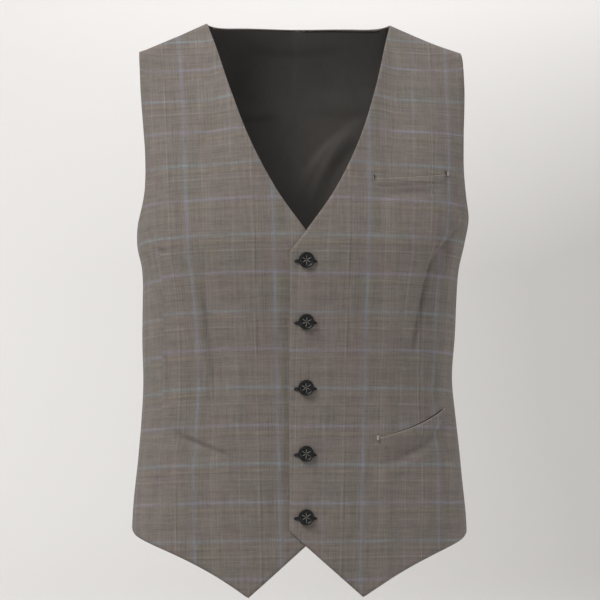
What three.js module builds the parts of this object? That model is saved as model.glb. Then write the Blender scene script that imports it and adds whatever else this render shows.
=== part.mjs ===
// A suit waistcoat, buttoned and hollow, in the form that it has when it is worn.
// Millimetres, +Z up, +X to the wearer's left, the fronts facing -Y. The origin lies midway
// between the two shoulder straps, at the height and depth where the shoulders hold it up.
import * as THREE from "three";

// Cloth
const CLOTH_THICK = 2.0;
const LINING_THICK = 1.0;
const WELT_THICK = 1.4;
const SEAM_GAP = 0.3;
const LAYER_GAP = 0.4;

// Body form
const CENTRE_Y = -12;
const CHEST_Z = -235;
const UNDERARM_Z = -215;
const NECK_HALF = 104.4;
const NECK_POINT_Z = 17.5;
const SHOULDER_HALF = { left: 185.5, right: 180.5 };
const SHOULDER_FALL = { left: 0.445, right: 0.486 };
const SHOULDER_EASE = 0.0007;
const NECK_RISE = 143;
const SHOULDER_ROLL = 14;
const ROLL_FROM = 0.35;
const ROLL_FULL = 0.85;
const BACK_NECK_Z = 21.6;
const BACK_NECK_FLAT = 4;
const BACK_NECK_DIP = 46;
const DIP_POWER = 6;

// Fronts
const OVERLAP = 18;
const V_BREAK_Z = -244;
const FRONT_CORNER_Z = -544.6;
const POINT_Q = 62.4;
const POINT_Z = -616.5;
const SIDE_HEM_Z = { left: -557.5, right: -555.5 };
const HEM_SWEEP = { left: 2.1, right: 2.3 };
const OVERLAP_LIFT = 2.5;
const OVERLAP_FLAT = 24;
const OVERLAP_FADE = 70;

// Back
const BACK_HEM_Z = -549;
const LINING_DROP = 1.5;
const LINING_SHORT = 12;

// Buttons, from the neck down
const BUTTON_Z = [-253, -319, -390, -461, -529];
const BUTTON_RADIUS = 8.5;
const BUTTON_THICK = 3.6;
const BUTTON_RIM = 1.7;
const BUTTON_DISH = 1.3;
const BUTTON_FOOT = 1.2;
const BUTTON_SIDES = 18;

// Half widths, depths before and behind the centre, and squareness of the body's level sections
const RINGS = [
  { z: 25, left: 192, right: 184, front: 115, back: 112, power: 3.2 },
  { z: -60, left: 190.5, right: 181, front: 115, back: 112, power: 3.1 },
  { z: -150, left: 190.5, right: 180, front: 115, back: 112, power: 3.0 },
  { z: -206, left: 190.5, right: 181.5, front: 115, back: 112, power: 2.85 },
  { z: -235, left: 185, right: 182, front: 115, back: 112, power: 2.8 },
  { z: -262, left: 178.5, right: 176.5, front: 114.5, back: 109, power: 2.8 },
  { z: -296, left: 176.2, right: 175.8, front: 113, back: 104, power: 2.75 },
  { z: -341, left: 174.7, right: 176.4, front: 110, back: 97, power: 2.7 },
  { z: -386, left: 172.3, right: 175.5, front: 108, back: 92, power: 2.65 },
  { z: -432, left: 176.7, right: 177.3, front: 107.5, back: 94, power: 2.65 },
  { z: -477, left: 181.4, right: 181.4, front: 108, back: 101, power: 2.7 },
  { z: -522, left: 186, right: 186, front: 109, back: 107, power: 2.7 },
  { z: -557, left: 188.1, right: 187.8, front: 109.5, back: 110, power: 2.7 },
  { z: -620, left: 189, right: 188.8, front: 110, back: 111, power: 2.7 },
];

// How the surface leans in from the chest to the shoulder: 1 at the chest, 0 on the shoulder line
const LEAN = {
  front: { bend: 1.2, round: 0.75 },
  back: { bend: 2.1, round: 0.75 },
};

// Neck edge of a front, as distance from the centre line at each height
const NECK_EDGE = [
  { z: 17.5, x: 104.4 },
  { z: -11, x: 95.9 },
  { z: -69, x: 78.7 },
  { z: -125, x: 58 },
  { z: -178, x: 30.6 },
  { z: -221, x: 0 },
  { z: -244, x: -18 },
];

// Armhole edges, from the side seam up, as distance in from the side seam line
const ARMHOLE = {
  front: [
    { z: -215, inset: 0 },
    { z: -206, inset: 28 },
    { z: -186, inset: 49 },
    { z: -152, inset: 57 },
    { z: -112, inset: 52 },
    { z: -64, inset: 41 },
  ],
  back: [
    { z: -215, inset: 0 },
    { z: -208, inset: 26 },
    { z: -188, inset: 46 },
    { z: -152, inset: 53 },
    { z: -112, inset: 49 },
    { z: -64, inset: 39 },
  ],
};

// The main folds of each panel. Each runs start, bend, end in girth from the centre line (q) and
// height (z); steep is its width on the right of that run and slack the width on the left.
const FOLDS = [
  { panel: "front_left", start: { q: 156, z: -222 }, bend: { q: 133, z: -282 }, end: { q: 118, z: -362 },
    depth: 6, steep: 9, slack: 36 },
  { panel: "front_left", start: { q: 188, z: -212 }, bend: { q: 166, z: -230 }, end: { q: 138, z: -268 },
    depth: 4, steep: 8, slack: 18 },
  { panel: "front_left", start: { q: 158, z: -438 }, bend: { q: 122, z: -462 }, end: { q: 76, z: -474 },
    depth: 3, steep: 12, slack: 14 },
  { panel: "front_right", start: { q: 92, z: -418 }, bend: { q: 98, z: -335 }, end: { q: 112, z: -262 },
    depth: 5, steep: 12, slack: 26 },
  { panel: "front_right", start: { q: 158, z: -436 }, bend: { q: 122, z: -452 }, end: { q: 76, z: -470 },
    depth: 2.6, steep: 12, slack: 18 },
  { panel: "back_left", start: { q: 96, z: -470 }, bend: { q: 86, z: -390 }, end: { q: 104, z: -270 },
    depth: 4.5, steep: 14, slack: 30 },
  { panel: "back_right", start: { q: 92, z: -460 }, bend: { q: 84, z: -380 }, end: { q: 98, z: -280 },
    depth: 4, steep: 14, slack: 32 },
  { panel: "back_left", start: { q: 30, z: -402 }, bend: { q: 90, z: -412 }, end: { q: 190, z: -372 },
    depth: 3, steep: 14, slack: 20 },
  { panel: "back_right", start: { q: 190, z: -380 }, bend: { q: 96, z: -424 }, end: { q: 24, z: -416 },
    depth: 3, steep: 20, slack: 14 },
];
const FOLD_STEPS = 14;

// Welts lie on the left front: girth and height of the top edge's two ends, and the welt's depth
const WELTS = [
  { name: "breast_welt", inner: { q: 73, z: -165 }, outer: { q: 160, z: -158 }, sag: 0.5, deep: 11 },
  { name: "lower_welt", inner: { q: 79, z: -445 }, outer: { q: 168, z: -415.5 }, sag: 3.4, deep: 21 },
];

const COLOURS = {
  cloth: { color: 0x766d67, roughness: 0.9, metalness: 0 },
  lining: { color: 0x32302d, roughness: 0.45, metalness: 0 },
  button: { color: 0x0d0d0e, roughness: 0.25, metalness: 0 },
};

const SIGN = { left: 1, right: -1 };
const OUTWARD = { front: -1, back: 1 };
const SECTION_STEPS = 180;
const PROBE = 0.6;
const HALVINGS = 30;

// Value of one column of a table whose rows run down in z, on a smooth curve through the rows.
function smoothColumn(rows, z, column) {
  const last = rows.length - 1;
  if (z >= rows[0].z) return rows[0][column];
  if (z <= rows[last].z) return rows[last][column];
  const low = rows.findIndex((row) => row.z <= z);
  const high = low - 1;
  const slope = (k) => {
    const above = rows[Math.max(k - 1, 0)];
    const below = rows[Math.min(k + 1, last)];
    return (above[column] - below[column]) / (above.z - below.z);
  };
  const span = rows[high].z - rows[low].z;
  const t = (z - rows[low].z) / span;
  const t2 = t * t;
  const t3 = t2 * t;
  return (
    (2 * t3 - 3 * t2 + 1) * rows[low][column] +
    (t3 - 2 * t2 + t) * span * slope(low) +
    (3 * t2 - 2 * t3) * rows[high][column] +
    (t3 - t2) * span * slope(high)
  );
}

const smoothStep = (t) => THREE.MathUtils.smoothstep(t, 0, 1);

// Height of the line where front and back surfaces meet over the shoulder, at a distance from
// the centre. Inside the neck it rises like the side of a neck, so the surfaces stay open there.
function ridgeHeight(side, x) {
  const out = x - NECK_HALF;
  const line = NECK_POINT_Z - SHOULDER_FALL[side] * out;
  if (out >= 0) return line + SHOULDER_EASE * out * out;
  return line + NECK_RISE * (1 - (x / NECK_HALF) ** 2) ** 1.5;
}

// Half thickness of the round that the cloth makes over the shoulder, at a drop below its line.
function shoulderRoll(drop, rise) {
  const into = THREE.MathUtils.clamp(SHOULDER_ROLL - drop, 0, SHOULDER_ROLL);
  const weight = smoothStep((rise - ROLL_FROM) / (ROLL_FULL - ROLL_FROM));
  return weight * Math.sqrt(SHOULDER_ROLL ** 2 - into ** 2);
}

// A point of a level section: angle 0 is the centre line and a quarter turn the side seam.
function sectionPoint(side, face, z, angle) {
  const half = smoothColumn(RINGS, z, side);
  const depth = smoothColumn(RINGS, z, face);
  const power = smoothColumn(RINGS, z, "power");
  const across = Math.sin(angle);
  const along = Math.max(Math.cos(angle), 0);
  const reach = ((along / depth) ** power + (across / half) ** power) ** (-1 / power);
  const x = reach * across;
  const lean = LEAN[face];
  const ridge = ridgeHeight(side, x);
  const rise = THREE.MathUtils.clamp((z - CHEST_Z) / (ridge - CHEST_Z), 0, 1);
  const leaning = reach * along * (1 - rise ** lean.bend) ** lean.round;
  const off = Math.cbrt(leaning ** 3 + shoulderRoll(ridge - z, rise) ** 3);
  const y = CENTRE_Y * (1 - rise * rise) + OUTWARD[face] * off;
  return new THREE.Vector3(SIGN[side] * x, y + (OUTWARD[face] * SEAM_GAP) / 2, z);
}

// Running length of the section at a height at or below the chest, against the angle.
const sectionLengths = new Map();
function sectionTable(side, face, z) {
  const level = Math.min(z, CHEST_Z);
  const key = `${side} ${face} ${level}`;
  if (!sectionLengths.has(key)) {
    const lengths = [0];
    let before = sectionPoint(side, face, level, 0);
    for (let i = 1; i <= SECTION_STEPS; i += 1) {
      const here = sectionPoint(side, face, level, (i / SECTION_STEPS) * (Math.PI / 2));
      lengths.push(lengths[i - 1] + here.distanceTo(before));
      before = here;
    }
    sectionLengths.set(key, lengths);
  }
  return sectionLengths.get(key);
}

const sideSeamGirth = (side, face, z) => sectionTable(side, face, z)[SECTION_STEPS];

// The body's surface at a girth q from the centre line and a height z.
function bodyPoint(side, face, q, z) {
  const lengths = sectionTable(side, face, z);
  const wanted = Math.min(Math.abs(q), lengths[SECTION_STEPS]);
  let step = lengths.findIndex((length) => length >= wanted);
  step = Math.max(step, 1);
  const part = (wanted - lengths[step - 1]) / (lengths[step] - lengths[step - 1]);
  const angle = ((step - 1 + part) / SECTION_STEPS) * (Math.PI / 2);
  const point = sectionPoint(side, face, z, angle);
  if (q < 0) point.x = -point.x;
  return point;
}

// The girth at which the surface stands a given distance from the centre line.
function girthAt(side, face, x, z) {
  let low = 0;
  let high = sideSeamGirth(side, face, z);
  for (let i = 0; i < HALVINGS; i += 1) {
    const middle = (low + high) / 2;
    if (Math.abs(bodyPoint(side, face, middle, z).x) < Math.abs(x)) low = middle;
    else high = middle;
  }
  return Math.sign(x) * low;
}

function bodyNormal(side, face, q, z) {
  const most = sideSeamGirth(side, face, z);
  const left = bodyPoint(side, face, q - PROBE, z);
  const right = bodyPoint(side, face, Math.min(q + PROBE, most), z);
  const below = bodyPoint(side, face, q, z - PROBE);
  const above = bodyPoint(side, face, q, z + PROBE / 4);
  const normal = right.sub(left).cross(above.sub(below)).normalize();
  const centre = bodyPoint(side, face, q, z).setZ(0);
  centre.y -= CENTRE_Y;
  if (normal.dot(centre) < 0) normal.negate();
  return normal;
}

// Folds
function foldRoute(fold) {
  const at = (p) => new THREE.Vector2(p.q, p.z);
  return new THREE.QuadraticBezierCurve(at(fold.start), at(fold.bend), at(fold.end)).getPoints(FOLD_STEPS);
}
for (const fold of FOLDS) fold.route = foldRoute(fold);

function foldDepth(fold, q, z) {
  let nearest = Infinity;
  let along = 0;
  let turn = 1;
  for (let i = 0; i < FOLD_STEPS; i += 1) {
    const a = fold.route[i];
    const b = fold.route[i + 1];
    const run = { q: b.x - a.x, z: b.y - a.y };
    const size = run.q * run.q + run.z * run.z;
    const part = THREE.MathUtils.clamp(((q - a.x) * run.q + (z - a.y) * run.z) / size, 0, 1);
    const off = { q: q - a.x - part * run.q, z: z - a.y - part * run.z };
    const distance = Math.hypot(off.q, off.z);
    if (distance < nearest) {
      nearest = distance;
      along = (i + part) / FOLD_STEPS;
      turn = Math.sign(run.q * off.z - run.z * off.q) || 1;
    }
  }
  const width = turn < 0 ? fold.steep : fold.slack;
  if (nearest >= width) return 0;
  const fade = Math.sin(Math.PI * along) ** 0.7;
  return fold.depth * fade * (1 - (nearest / width) ** 2) ** 2;
}

function relief(panel, q, z) {
  let depth = 0;
  for (const fold of FOLDS) if (fold.panel === panel) depth += foldDepth(fold, q, z);
  return -depth;
}

// How far the upper layer of the overlap stands off the body, at a girth from the centre line.
const overlapLift = (q) =>
  OVERLAP_LIFT * (1 - smoothStep((Math.abs(q) - OVERLAP_FLAT) / (OVERLAP_FADE - OVERLAP_FLAT)));

// Surface of a panel as cut, before its folds, a given distance further out or (negative) in.
function smoothPoint(panel, q, z, out) {
  const [face, side] = panel.split("_");
  const lift = panel === "front_left" ? overlapLift(q) : 0;
  return bodyPoint(side, face, q, z).addScaledVector(bodyNormal(side, face, q, z), lift + out);
}

const panelPoint = (panel, q, z, out) => smoothPoint(panel, q, z, relief(panel, q, z) + out);

// Outline of a panel in girth and height: four edges that a grid is stretched between.
function armholeEdge(side, face) {
  const seam = sideSeamGirth(side, face, UNDERARM_Z);
  const points = ARMHOLE[face].map((row) => new THREE.Vector2(seam - row.inset, row.z));
  const tipZ = ridgeHeight(side, SHOULDER_HALF[side]);
  points.push(new THREE.Vector2(girthAt(side, face, SHOULDER_HALF[side], tipZ), tipZ));
  return new THREE.SplineCurve(points);
}

function shoulderEdge(side, face, t) {
  const x = THREE.MathUtils.lerp(NECK_HALF, SHOULDER_HALF[side], t);
  const z = ridgeHeight(side, x);
  return new THREE.Vector2(girthAt(side, face, x, z), z);
}

function frontHem(side, u, pointU) {
  const corner = new THREE.Vector2(-OVERLAP, FRONT_CORNER_Z);
  const point = new THREE.Vector2(POINT_Q, POINT_Z);
  if (u <= pointU) return corner.lerp(point, u / pointU);
  const sideZ = SIDE_HEM_Z[side];
  const seam = sideSeamGirth(side, "front", sideZ);
  const part = (u - pointU) / (1 - pointU);
  const drop = (sideZ - POINT_Z) * (1 - part) ** HEM_SWEEP[side];
  return new THREE.Vector2(THREE.MathUtils.lerp(POINT_Q, seam, part), sideZ - drop);
}

function outline(panel, layout) {
  const [face, side] = panel.split("_");
  const armhole = armholeEdge(side, face);
  const { waistV } = layout;
  const hem = (u) => {
    if (face === "front") return frontHem(side, u, layout.pointU);
    const seam = sideSeamGirth(side, face, SIDE_HEM_Z[side]);
    return new THREE.Vector2(seam * u, THREE.MathUtils.lerp(BACK_HEM_Z, SIDE_HEM_Z[side], u * u));
  };
  const top = (u) => {
    if (face === "front") return shoulderEdge(side, face, u);
    if (u >= layout.neckU) return shoulderEdge(side, face, (u - layout.neckU) / (1 - layout.neckU));
    const x = NECK_HALF * Math.sin((u / layout.neckU) * (Math.PI / 2));
    const share = x / NECK_HALF;
    const rise = (BACK_NECK_Z - NECK_POINT_Z) * (1 - share ** BACK_NECK_FLAT);
    const z = NECK_POINT_Z + rise - BACK_NECK_DIP * share ** DIP_POWER * (1 - share);
    return new THREE.Vector2(girthAt(side, face, x, z), z);
  };
  const centre = (v) => {
    if (face === "back") return new THREE.Vector2(0, THREE.MathUtils.lerp(hem(0).y, top(0).y, v));
    if (v <= waistV) {
      return new THREE.Vector2(-OVERLAP, THREE.MathUtils.lerp(FRONT_CORNER_Z, V_BREAK_Z, v / waistV));
    }
    const z = THREE.MathUtils.lerp(V_BREAK_Z, NECK_POINT_Z, (v - waistV) / (1 - waistV));
    return new THREE.Vector2(girthAt(side, face, smoothColumn(NECK_EDGE, z, "x"), z), z);
  };
  const sideEdge = (v) => {
    if (v <= waistV) {
      const z = THREE.MathUtils.lerp(SIDE_HEM_Z[side], UNDERARM_Z, v / waistV);
      return new THREE.Vector2(sideSeamGirth(side, face, z), z);
    }
    return armhole.getPointAt(Math.min((v - waistV) / (1 - waistV), 1));
  };
  return { hem, top, centre, sideEdge };
}

// A place inside the outline, stretched evenly between its four edges.
function spread(edges, u, v) {
  const mix = (a, b, t) => a.clone().lerp(b, t);
  const rows = mix(edges.centre(v), edges.sideEdge(v), u);
  const columns = mix(edges.hem(u), edges.top(u), v);
  const corners = mix(
    mix(edges.centre(0), edges.sideEdge(0), u),
    mix(edges.centre(1), edges.sideEdge(1), u),
    v,
  );
  return rows.add(columns).sub(corners);
}

// A closed wall from a grid of outer points and the matching inner points. Its quads are cut
// along one diagonal, mirrored before the middle column.
function wall(columns, rows, outerAt, innerAt, middle = 0) {
  const stride = columns + 1;
  const layer = stride * (rows + 1);
  const positions = [];
  for (const pointAt of [outerAt, innerAt]) {
    for (let j = 0; j <= rows; j += 1) {
      for (let i = 0; i <= columns; i += 1) positions.push(...pointAt(i, j).toArray());
    }
  }
  const index = [];
  const quad = (a, b, c, d) => index.push(a, b, c, a, c, d);
  const at = (i, j) => j * stride + i;
  for (let j = 0; j < rows; j += 1) {
    for (let i = 0; i < columns; i += 1) {
      const ring = [at(i, j), at(i + 1, j), at(i + 1, j + 1), at(i, j + 1)];
      if (i < middle) ring.push(ring.shift());
      quad(...ring);
      const [a, b, c, d] = ring.map((k) => k + layer);
      quad(a, d, c, b);
    }
  }
  for (let i = 0; i < columns; i += 1) {
    quad(at(i + 1, 0), at(i, 0), layer + at(i, 0), layer + at(i + 1, 0));
    quad(at(i, rows), at(i + 1, rows), layer + at(i + 1, rows), layer + at(i, rows));
  }
  for (let j = 0; j < rows; j += 1) {
    quad(at(0, j), at(0, j + 1), layer + at(0, j + 1), layer + at(0, j));
    quad(at(columns, j + 1), at(columns, j), layer + at(columns, j), layer + at(columns, j + 1));
  }
  const geometry = new THREE.BufferGeometry();
  geometry.setAttribute("position", new THREE.Float32BufferAttribute(positions, 3));
  geometry.setIndex(faceOutward(positions, index));
  geometry.computeVertexNormals();
  return geometry;
}

// Turns every face round when the wall's enclosed volume comes out negative.
function faceOutward(positions, index) {
  const vertex = (k) => new THREE.Vector3().fromArray(positions, 3 * index[k]);
  let volume = 0;
  for (let k = 0; k < index.length; k += 3) {
    volume += vertex(k).dot(vertex(k + 1).cross(vertex(k + 2)));
  }
  if (volume < 0) index.reverse();
  return index;
}

// Spacing of a panel's rows: even to the underarm, then closer towards the shoulder.
function rowAt(j, layout) {
  if (j <= layout.lowRows) return (layout.waistV * j) / layout.lowRows;
  const part = (j - layout.lowRows) / (layout.rows - layout.lowRows);
  return layout.waistV + (1 - layout.waistV) * (1 - (1 - part) ** layout.crowd);
}

function panelWall(panel, layout) {
  const edges = outline(panel, layout);
  const [face, side] = panel.split("_");
  const places = [];
  for (let j = 0; j <= layout.rows; j += 1) {
    for (let i = 0; i <= layout.columns; i += 1) {
      places.push(spread(edges, i / layout.columns, rowAt(j, layout)));
    }
  }
  const placeAt = (i, j) => places[j * (layout.columns + 1) + i];
  const outer = (i, j) => panelPoint(panel, placeAt(i, j).x, placeAt(i, j).y, -layout.inset);
  const clear = layout.centreGap * SIGN[side];
  const shift = (point) => point.setX(point.x + clear);
  const inner = (i, j) => {
    const place = placeAt(i, j);
    const point = panelPoint(panel, place.x, place.y, -layout.inset - layout.thick);
    const onSideSeam = i === layout.columns && j <= layout.lowRows;
    const onShoulder = j === layout.rows && (face === "front" || i / layout.columns >= layout.neckU);
    if (onSideSeam || onShoulder) point.y = outer(i, j).y;
    if (face === "back" && i === 0) point.x = 0;
    return point;
  };
  return wall(
    layout.columns,
    layout.rows,
    (i, j) => shift(outer(i, j)),
    (i, j) => shift(inner(i, j)),
  );
}

const FRONT_LAYOUT = {
  columns: 22, rows: 32, lowRows: 18, waistV: 0.56, pointU: 6 / 22, neckU: 0,
  crowd: 1.35, inset: 0, thick: CLOTH_THICK, centreGap: 0,
};
const BACK_LAYOUT = {
  columns: 12, rows: 22, lowRows: 11, waistV: 0.56, pointU: 0, neckU: 7 / 12,
  crowd: 1.35, inset: 0, thick: CLOTH_THICK, centreGap: SEAM_GAP / 2,
};

// The lining is one piece over both back halves. Its grid follows theirs from side to side, but
// its neck and hem edges stop short of theirs.
function liningWall() {
  const layout = BACK_LAYOUT;
  const half = layout.columns;
  const edges = { left: outline("back_left", layout), right: outline("back_right", layout) };
  const inset = CLOTH_THICK + LAYER_GAP;
  const fullPoint = (i, j, out) => {
    const side = i >= half ? "left" : "right";
    const u = Math.abs(i - half) / half;
    const place = spread(edges[side], u, rowAt(j, layout));
    const point = panelPoint(`back_${side}`, place.x, place.y, -inset - out);
    const onSideSeam = Math.abs(i - half) === half && j <= layout.lowRows;
    const onShoulder = j === layout.rows && u >= layout.neckU;
    if (onSideSeam || onShoulder) point.y = bodyPoint(side, "back", place.x, place.y).y;
    if (i === half) point.x = 0;
    return point;
  };
  const pulledBack = (i, j, next, by, out) => {
    const edge = fullPoint(i, j, out);
    const inside = fullPoint(i, next, out);
    return edge.lerp(inside, by / edge.distanceTo(inside));
  };
  const pointAt = (i, j, out) => {
    const atNeck = Math.abs(i - half) / half < layout.neckU;
    if (j === 0) return pulledBack(i, 0, 1, LINING_SHORT, out);
    if (j === layout.rows && atNeck) return pulledBack(i, j, j - 1, LINING_DROP, out);
    return fullPoint(i, j, out);
  };
  const outer = (i, j) => pointAt(i, j, 0);
  const inner = (i, j) => pointAt(i, j, LINING_THICK);
  return wall(2 * half, layout.rows, outer, inner, half);
}

const WELT_COLUMNS = 10;
const WELT_ROWS = 2;

function weltWall(welt) {
  const at = (i, j, out) => {
    const t = i / WELT_COLUMNS;
    const q = THREE.MathUtils.lerp(welt.inner.q, welt.outer.q, t);
    const top = THREE.MathUtils.lerp(welt.inner.z, welt.outer.z, t) - welt.sag * 4 * t * (1 - t);
    return smoothPoint("front_left", q, top - (welt.deep * j) / WELT_ROWS, SEAM_GAP + out);
  };
  return wall(WELT_COLUMNS, WELT_ROWS, (i, j) => at(i, j, WELT_THICK), (i, j) => at(i, j, 0));
}

// A dished button with a raised rim, its back on z = 0.
function buttonGeometry() {
  const r = BUTTON_RADIUS;
  const profile = [
    [0, 0],
    [r - BUTTON_FOOT, 0],
    [r, BUTTON_THICK * 0.45],
    [r - 0.3, BUTTON_THICK * 0.85],
    [r - BUTTON_RIM * 0.55, BUTTON_THICK],
    [r - BUTTON_RIM, BUTTON_THICK * 0.85],
    [r - BUTTON_RIM - BUTTON_DISH, BUTTON_THICK - BUTTON_DISH],
    [0, BUTTON_THICK - BUTTON_DISH],
  ].map(([x, y]) => new THREE.Vector2(x, y));
  return new THREE.LatheGeometry(profile, BUTTON_SIDES).rotateX(Math.PI / 2);
}

const material = (finish) => new THREE.MeshStandardMaterial(finish);
const CLOTH = material(COLOURS.cloth);
const SATIN = material(COLOURS.lining);
const HORN = material(COLOURS.button);

const waistcoat = new THREE.Group();

function add(name, geometry, finish) {
  const mesh = new THREE.Mesh(geometry, finish);
  mesh.name = name;
  waistcoat.add(mesh);
  return mesh;
}

for (const side of ["left", "right"]) {
  add(`front_${side}`, panelWall(`front_${side}`, FRONT_LAYOUT), CLOTH);
  add(`back_${side}`, panelWall(`back_${side}`, BACK_LAYOUT), CLOTH);
}
add("back_lining", liningWall(), SATIN);
for (const welt of WELTS) add(welt.name, weltWall(welt), CLOTH);

BUTTON_Z.forEach((z, i) => {
  const button = add(`button_${i + 1}`, buttonGeometry(), HORN);
  const normal = bodyNormal("left", "front", 0, z);
  normal.x = 0;
  normal.normalize();
  button.position.copy(panelPoint("front_left", 0, z, SEAM_GAP)).setX(0);
  button.quaternion.setFromUnitVectors(new THREE.Vector3(0, 0, 1), normal);
});

export default waistcoat;
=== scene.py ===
"""A buttoned suit waistcoat in its worn form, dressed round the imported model.

Blender's units are metres, with +Z up and +X to the wearer's left. The body form, the cutting
lines and the folds are in millimetres of girth (q) and height (z), as in the part's source, and
become metres when a shell is laid on the form.
"""

import logging
import math
from dataclasses import dataclass
from enum import Enum
from functools import lru_cache
from typing import NamedTuple, Sequence

import bmesh
import bpy
import numpy as np
from mathutils import Matrix, Vector


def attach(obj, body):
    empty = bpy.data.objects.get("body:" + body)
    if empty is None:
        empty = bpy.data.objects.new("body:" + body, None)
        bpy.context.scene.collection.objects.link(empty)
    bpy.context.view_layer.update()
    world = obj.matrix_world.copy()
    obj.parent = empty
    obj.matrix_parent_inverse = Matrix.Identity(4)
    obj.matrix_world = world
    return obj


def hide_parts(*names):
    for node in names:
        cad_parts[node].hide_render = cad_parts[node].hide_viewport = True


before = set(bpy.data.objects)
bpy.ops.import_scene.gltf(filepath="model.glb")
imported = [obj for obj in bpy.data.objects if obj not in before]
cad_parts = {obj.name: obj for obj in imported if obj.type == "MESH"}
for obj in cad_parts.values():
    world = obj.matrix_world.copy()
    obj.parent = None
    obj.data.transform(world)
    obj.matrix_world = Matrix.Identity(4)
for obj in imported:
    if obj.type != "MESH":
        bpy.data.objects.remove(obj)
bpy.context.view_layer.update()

Array = np.ndarray
Pair = tuple[float, float]
Triple = tuple[float, float, float]
Socket = bpy.types.NodeSocket
Material = bpy.types.Material
Mesh = bpy.types.Mesh
Piece = bpy.types.Object
Soup = bmesh.types.BMesh

LOG = logging.getLogger("waistcoat")
MM = 0.001
BODY = "root"
CLOTH_MAP = "cloth"
QUARTER = math.pi / 2
BLACK, WHITE = (0.0, 0.0, 0.0), (1.0, 1.0, 1.0)


class Side(Enum):
    """The wearer's left or right."""

    LEFT = "left"
    RIGHT = "right"

    @property
    def sign(self) -> float:
        """Direction of this side along X."""
        return 1.0 if self is Side.LEFT else -1.0

    def pick(self, pair: Pair) -> float:
        """This side's one of a left and a right value."""
        return pair[0] if self is Side.LEFT else pair[1]


class Face(Enum):
    """The front or the back of the body."""

    FRONT = "front"
    BACK = "back"

    @property
    def outward(self) -> float:
        """Direction of this face along Y."""
        return -1.0 if self is Face.FRONT else 1.0


class Ring(NamedTuple):
    """Half widths, depths and squareness of one level section."""

    z: float
    left: float
    right: float
    front: float
    back: float
    power: float


class NeckRow(NamedTuple):
    """Distance of a front's neck edge from the centre line, at a height."""

    z: float
    x: float


RINGS = (
    Ring(25, 192, 184, 115, 112, 3.2),
    Ring(-60, 190.5, 181, 115, 112, 3.1),
    Ring(-150, 190.5, 180, 115, 112, 3.0),
    Ring(-206, 190.5, 181.5, 115, 112, 2.85),
    Ring(-235, 185, 182, 115, 112, 2.8),
    Ring(-262, 178.5, 176.5, 114.5, 109, 2.8),
    Ring(-296, 176.2, 175.8, 113, 104, 2.75),
    Ring(-341, 174.7, 176.4, 110, 97, 2.7),
    Ring(-386, 172.3, 175.5, 108, 92, 2.65),
    Ring(-432, 176.7, 177.3, 107.5, 94, 2.65),
    Ring(-477, 181.4, 181.4, 108, 101, 2.7),
    Ring(-522, 186, 186, 109, 107, 2.7),
    Ring(-557, 188.1, 187.8, 109.5, 110, 2.7),
    Ring(-620, 189, 188.8, 110, 111, 2.7),
)
NECK_EDGE = (
    NeckRow(17.5, 104.4),
    NeckRow(-11, 95.9),
    NeckRow(-69, 78.7),
    NeckRow(-125, 58),
    NeckRow(-178, 30.6),
    NeckRow(-221, 0),
    NeckRow(-244, -18),
)

# Armhole edges from the side seam up: distance in from the seam, and height
ARMHOLE = {
    Face.FRONT: ((0, -215), (28, -206), (49, -186), (57, -152), (52, -112), (41, -64)),
    Face.BACK: ((0, -215), (26, -208), (46, -188), (53, -152), (49, -112), (39, -64)),
}
BUTTON_HEIGHTS = (-253.0, -319.0, -390.0, -461.0, -529.0)


def part_of(t: Array, low: float = 0.0, high: float = 1.0) -> Array:
    """Share of the way from low to high, held within 0 and 1."""
    return np.clip((t - low) / (high - low), 0.0, 1.0)


def smooth_step(t: Array) -> Array:
    """Eases from 0 to 1 as t does."""
    t = np.clip(t, 0.0, 1.0)
    return t * t * (3.0 - 2.0 * t)


def mix(a: Array, b: Array, t: Array) -> Array:
    """The way from a to b."""
    return a * (1 - t) + b * t


def spots(q: Array, z: Array) -> Array:
    """Places from their girths and heights."""
    return np.stack(np.broadcast_arrays(q, z), axis=-1)


def smooth_column(rows: Sequence[NamedTuple], column: str, z: Array) -> Array:
    """Value of one column of a table, on a smooth curve through its rows.

    Args:
        rows: Rows with a z, running down in height.
        column: Name of the column.
        z: Heights to read it at.

    Returns:
        The column's value at each height.
    """
    heights, values = (
        np.array([getattr(row, name) for row in reversed(rows)], float) for name in ("z", column)
    )
    last = len(rows) - 1
    above = np.minimum(np.arange(last + 1) + 1, last)
    below = np.maximum(np.arange(last + 1) - 1, 0)
    slopes = (values[above] - values[below]) / (heights[above] - heights[below])
    z = np.clip(z, heights[0], heights[last])
    low = np.clip(np.searchsorted(heights, z, side="right") - 1, 0, last - 1)
    span = heights[low + 1] - heights[low]
    t = (z - heights[low]) / span
    ends = mix(values[low], values[low + 1], smooth_step(t))
    return ends + span * t * (1 - t) * ((1 - t) * slopes[low] - t * slopes[low + 1])


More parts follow.
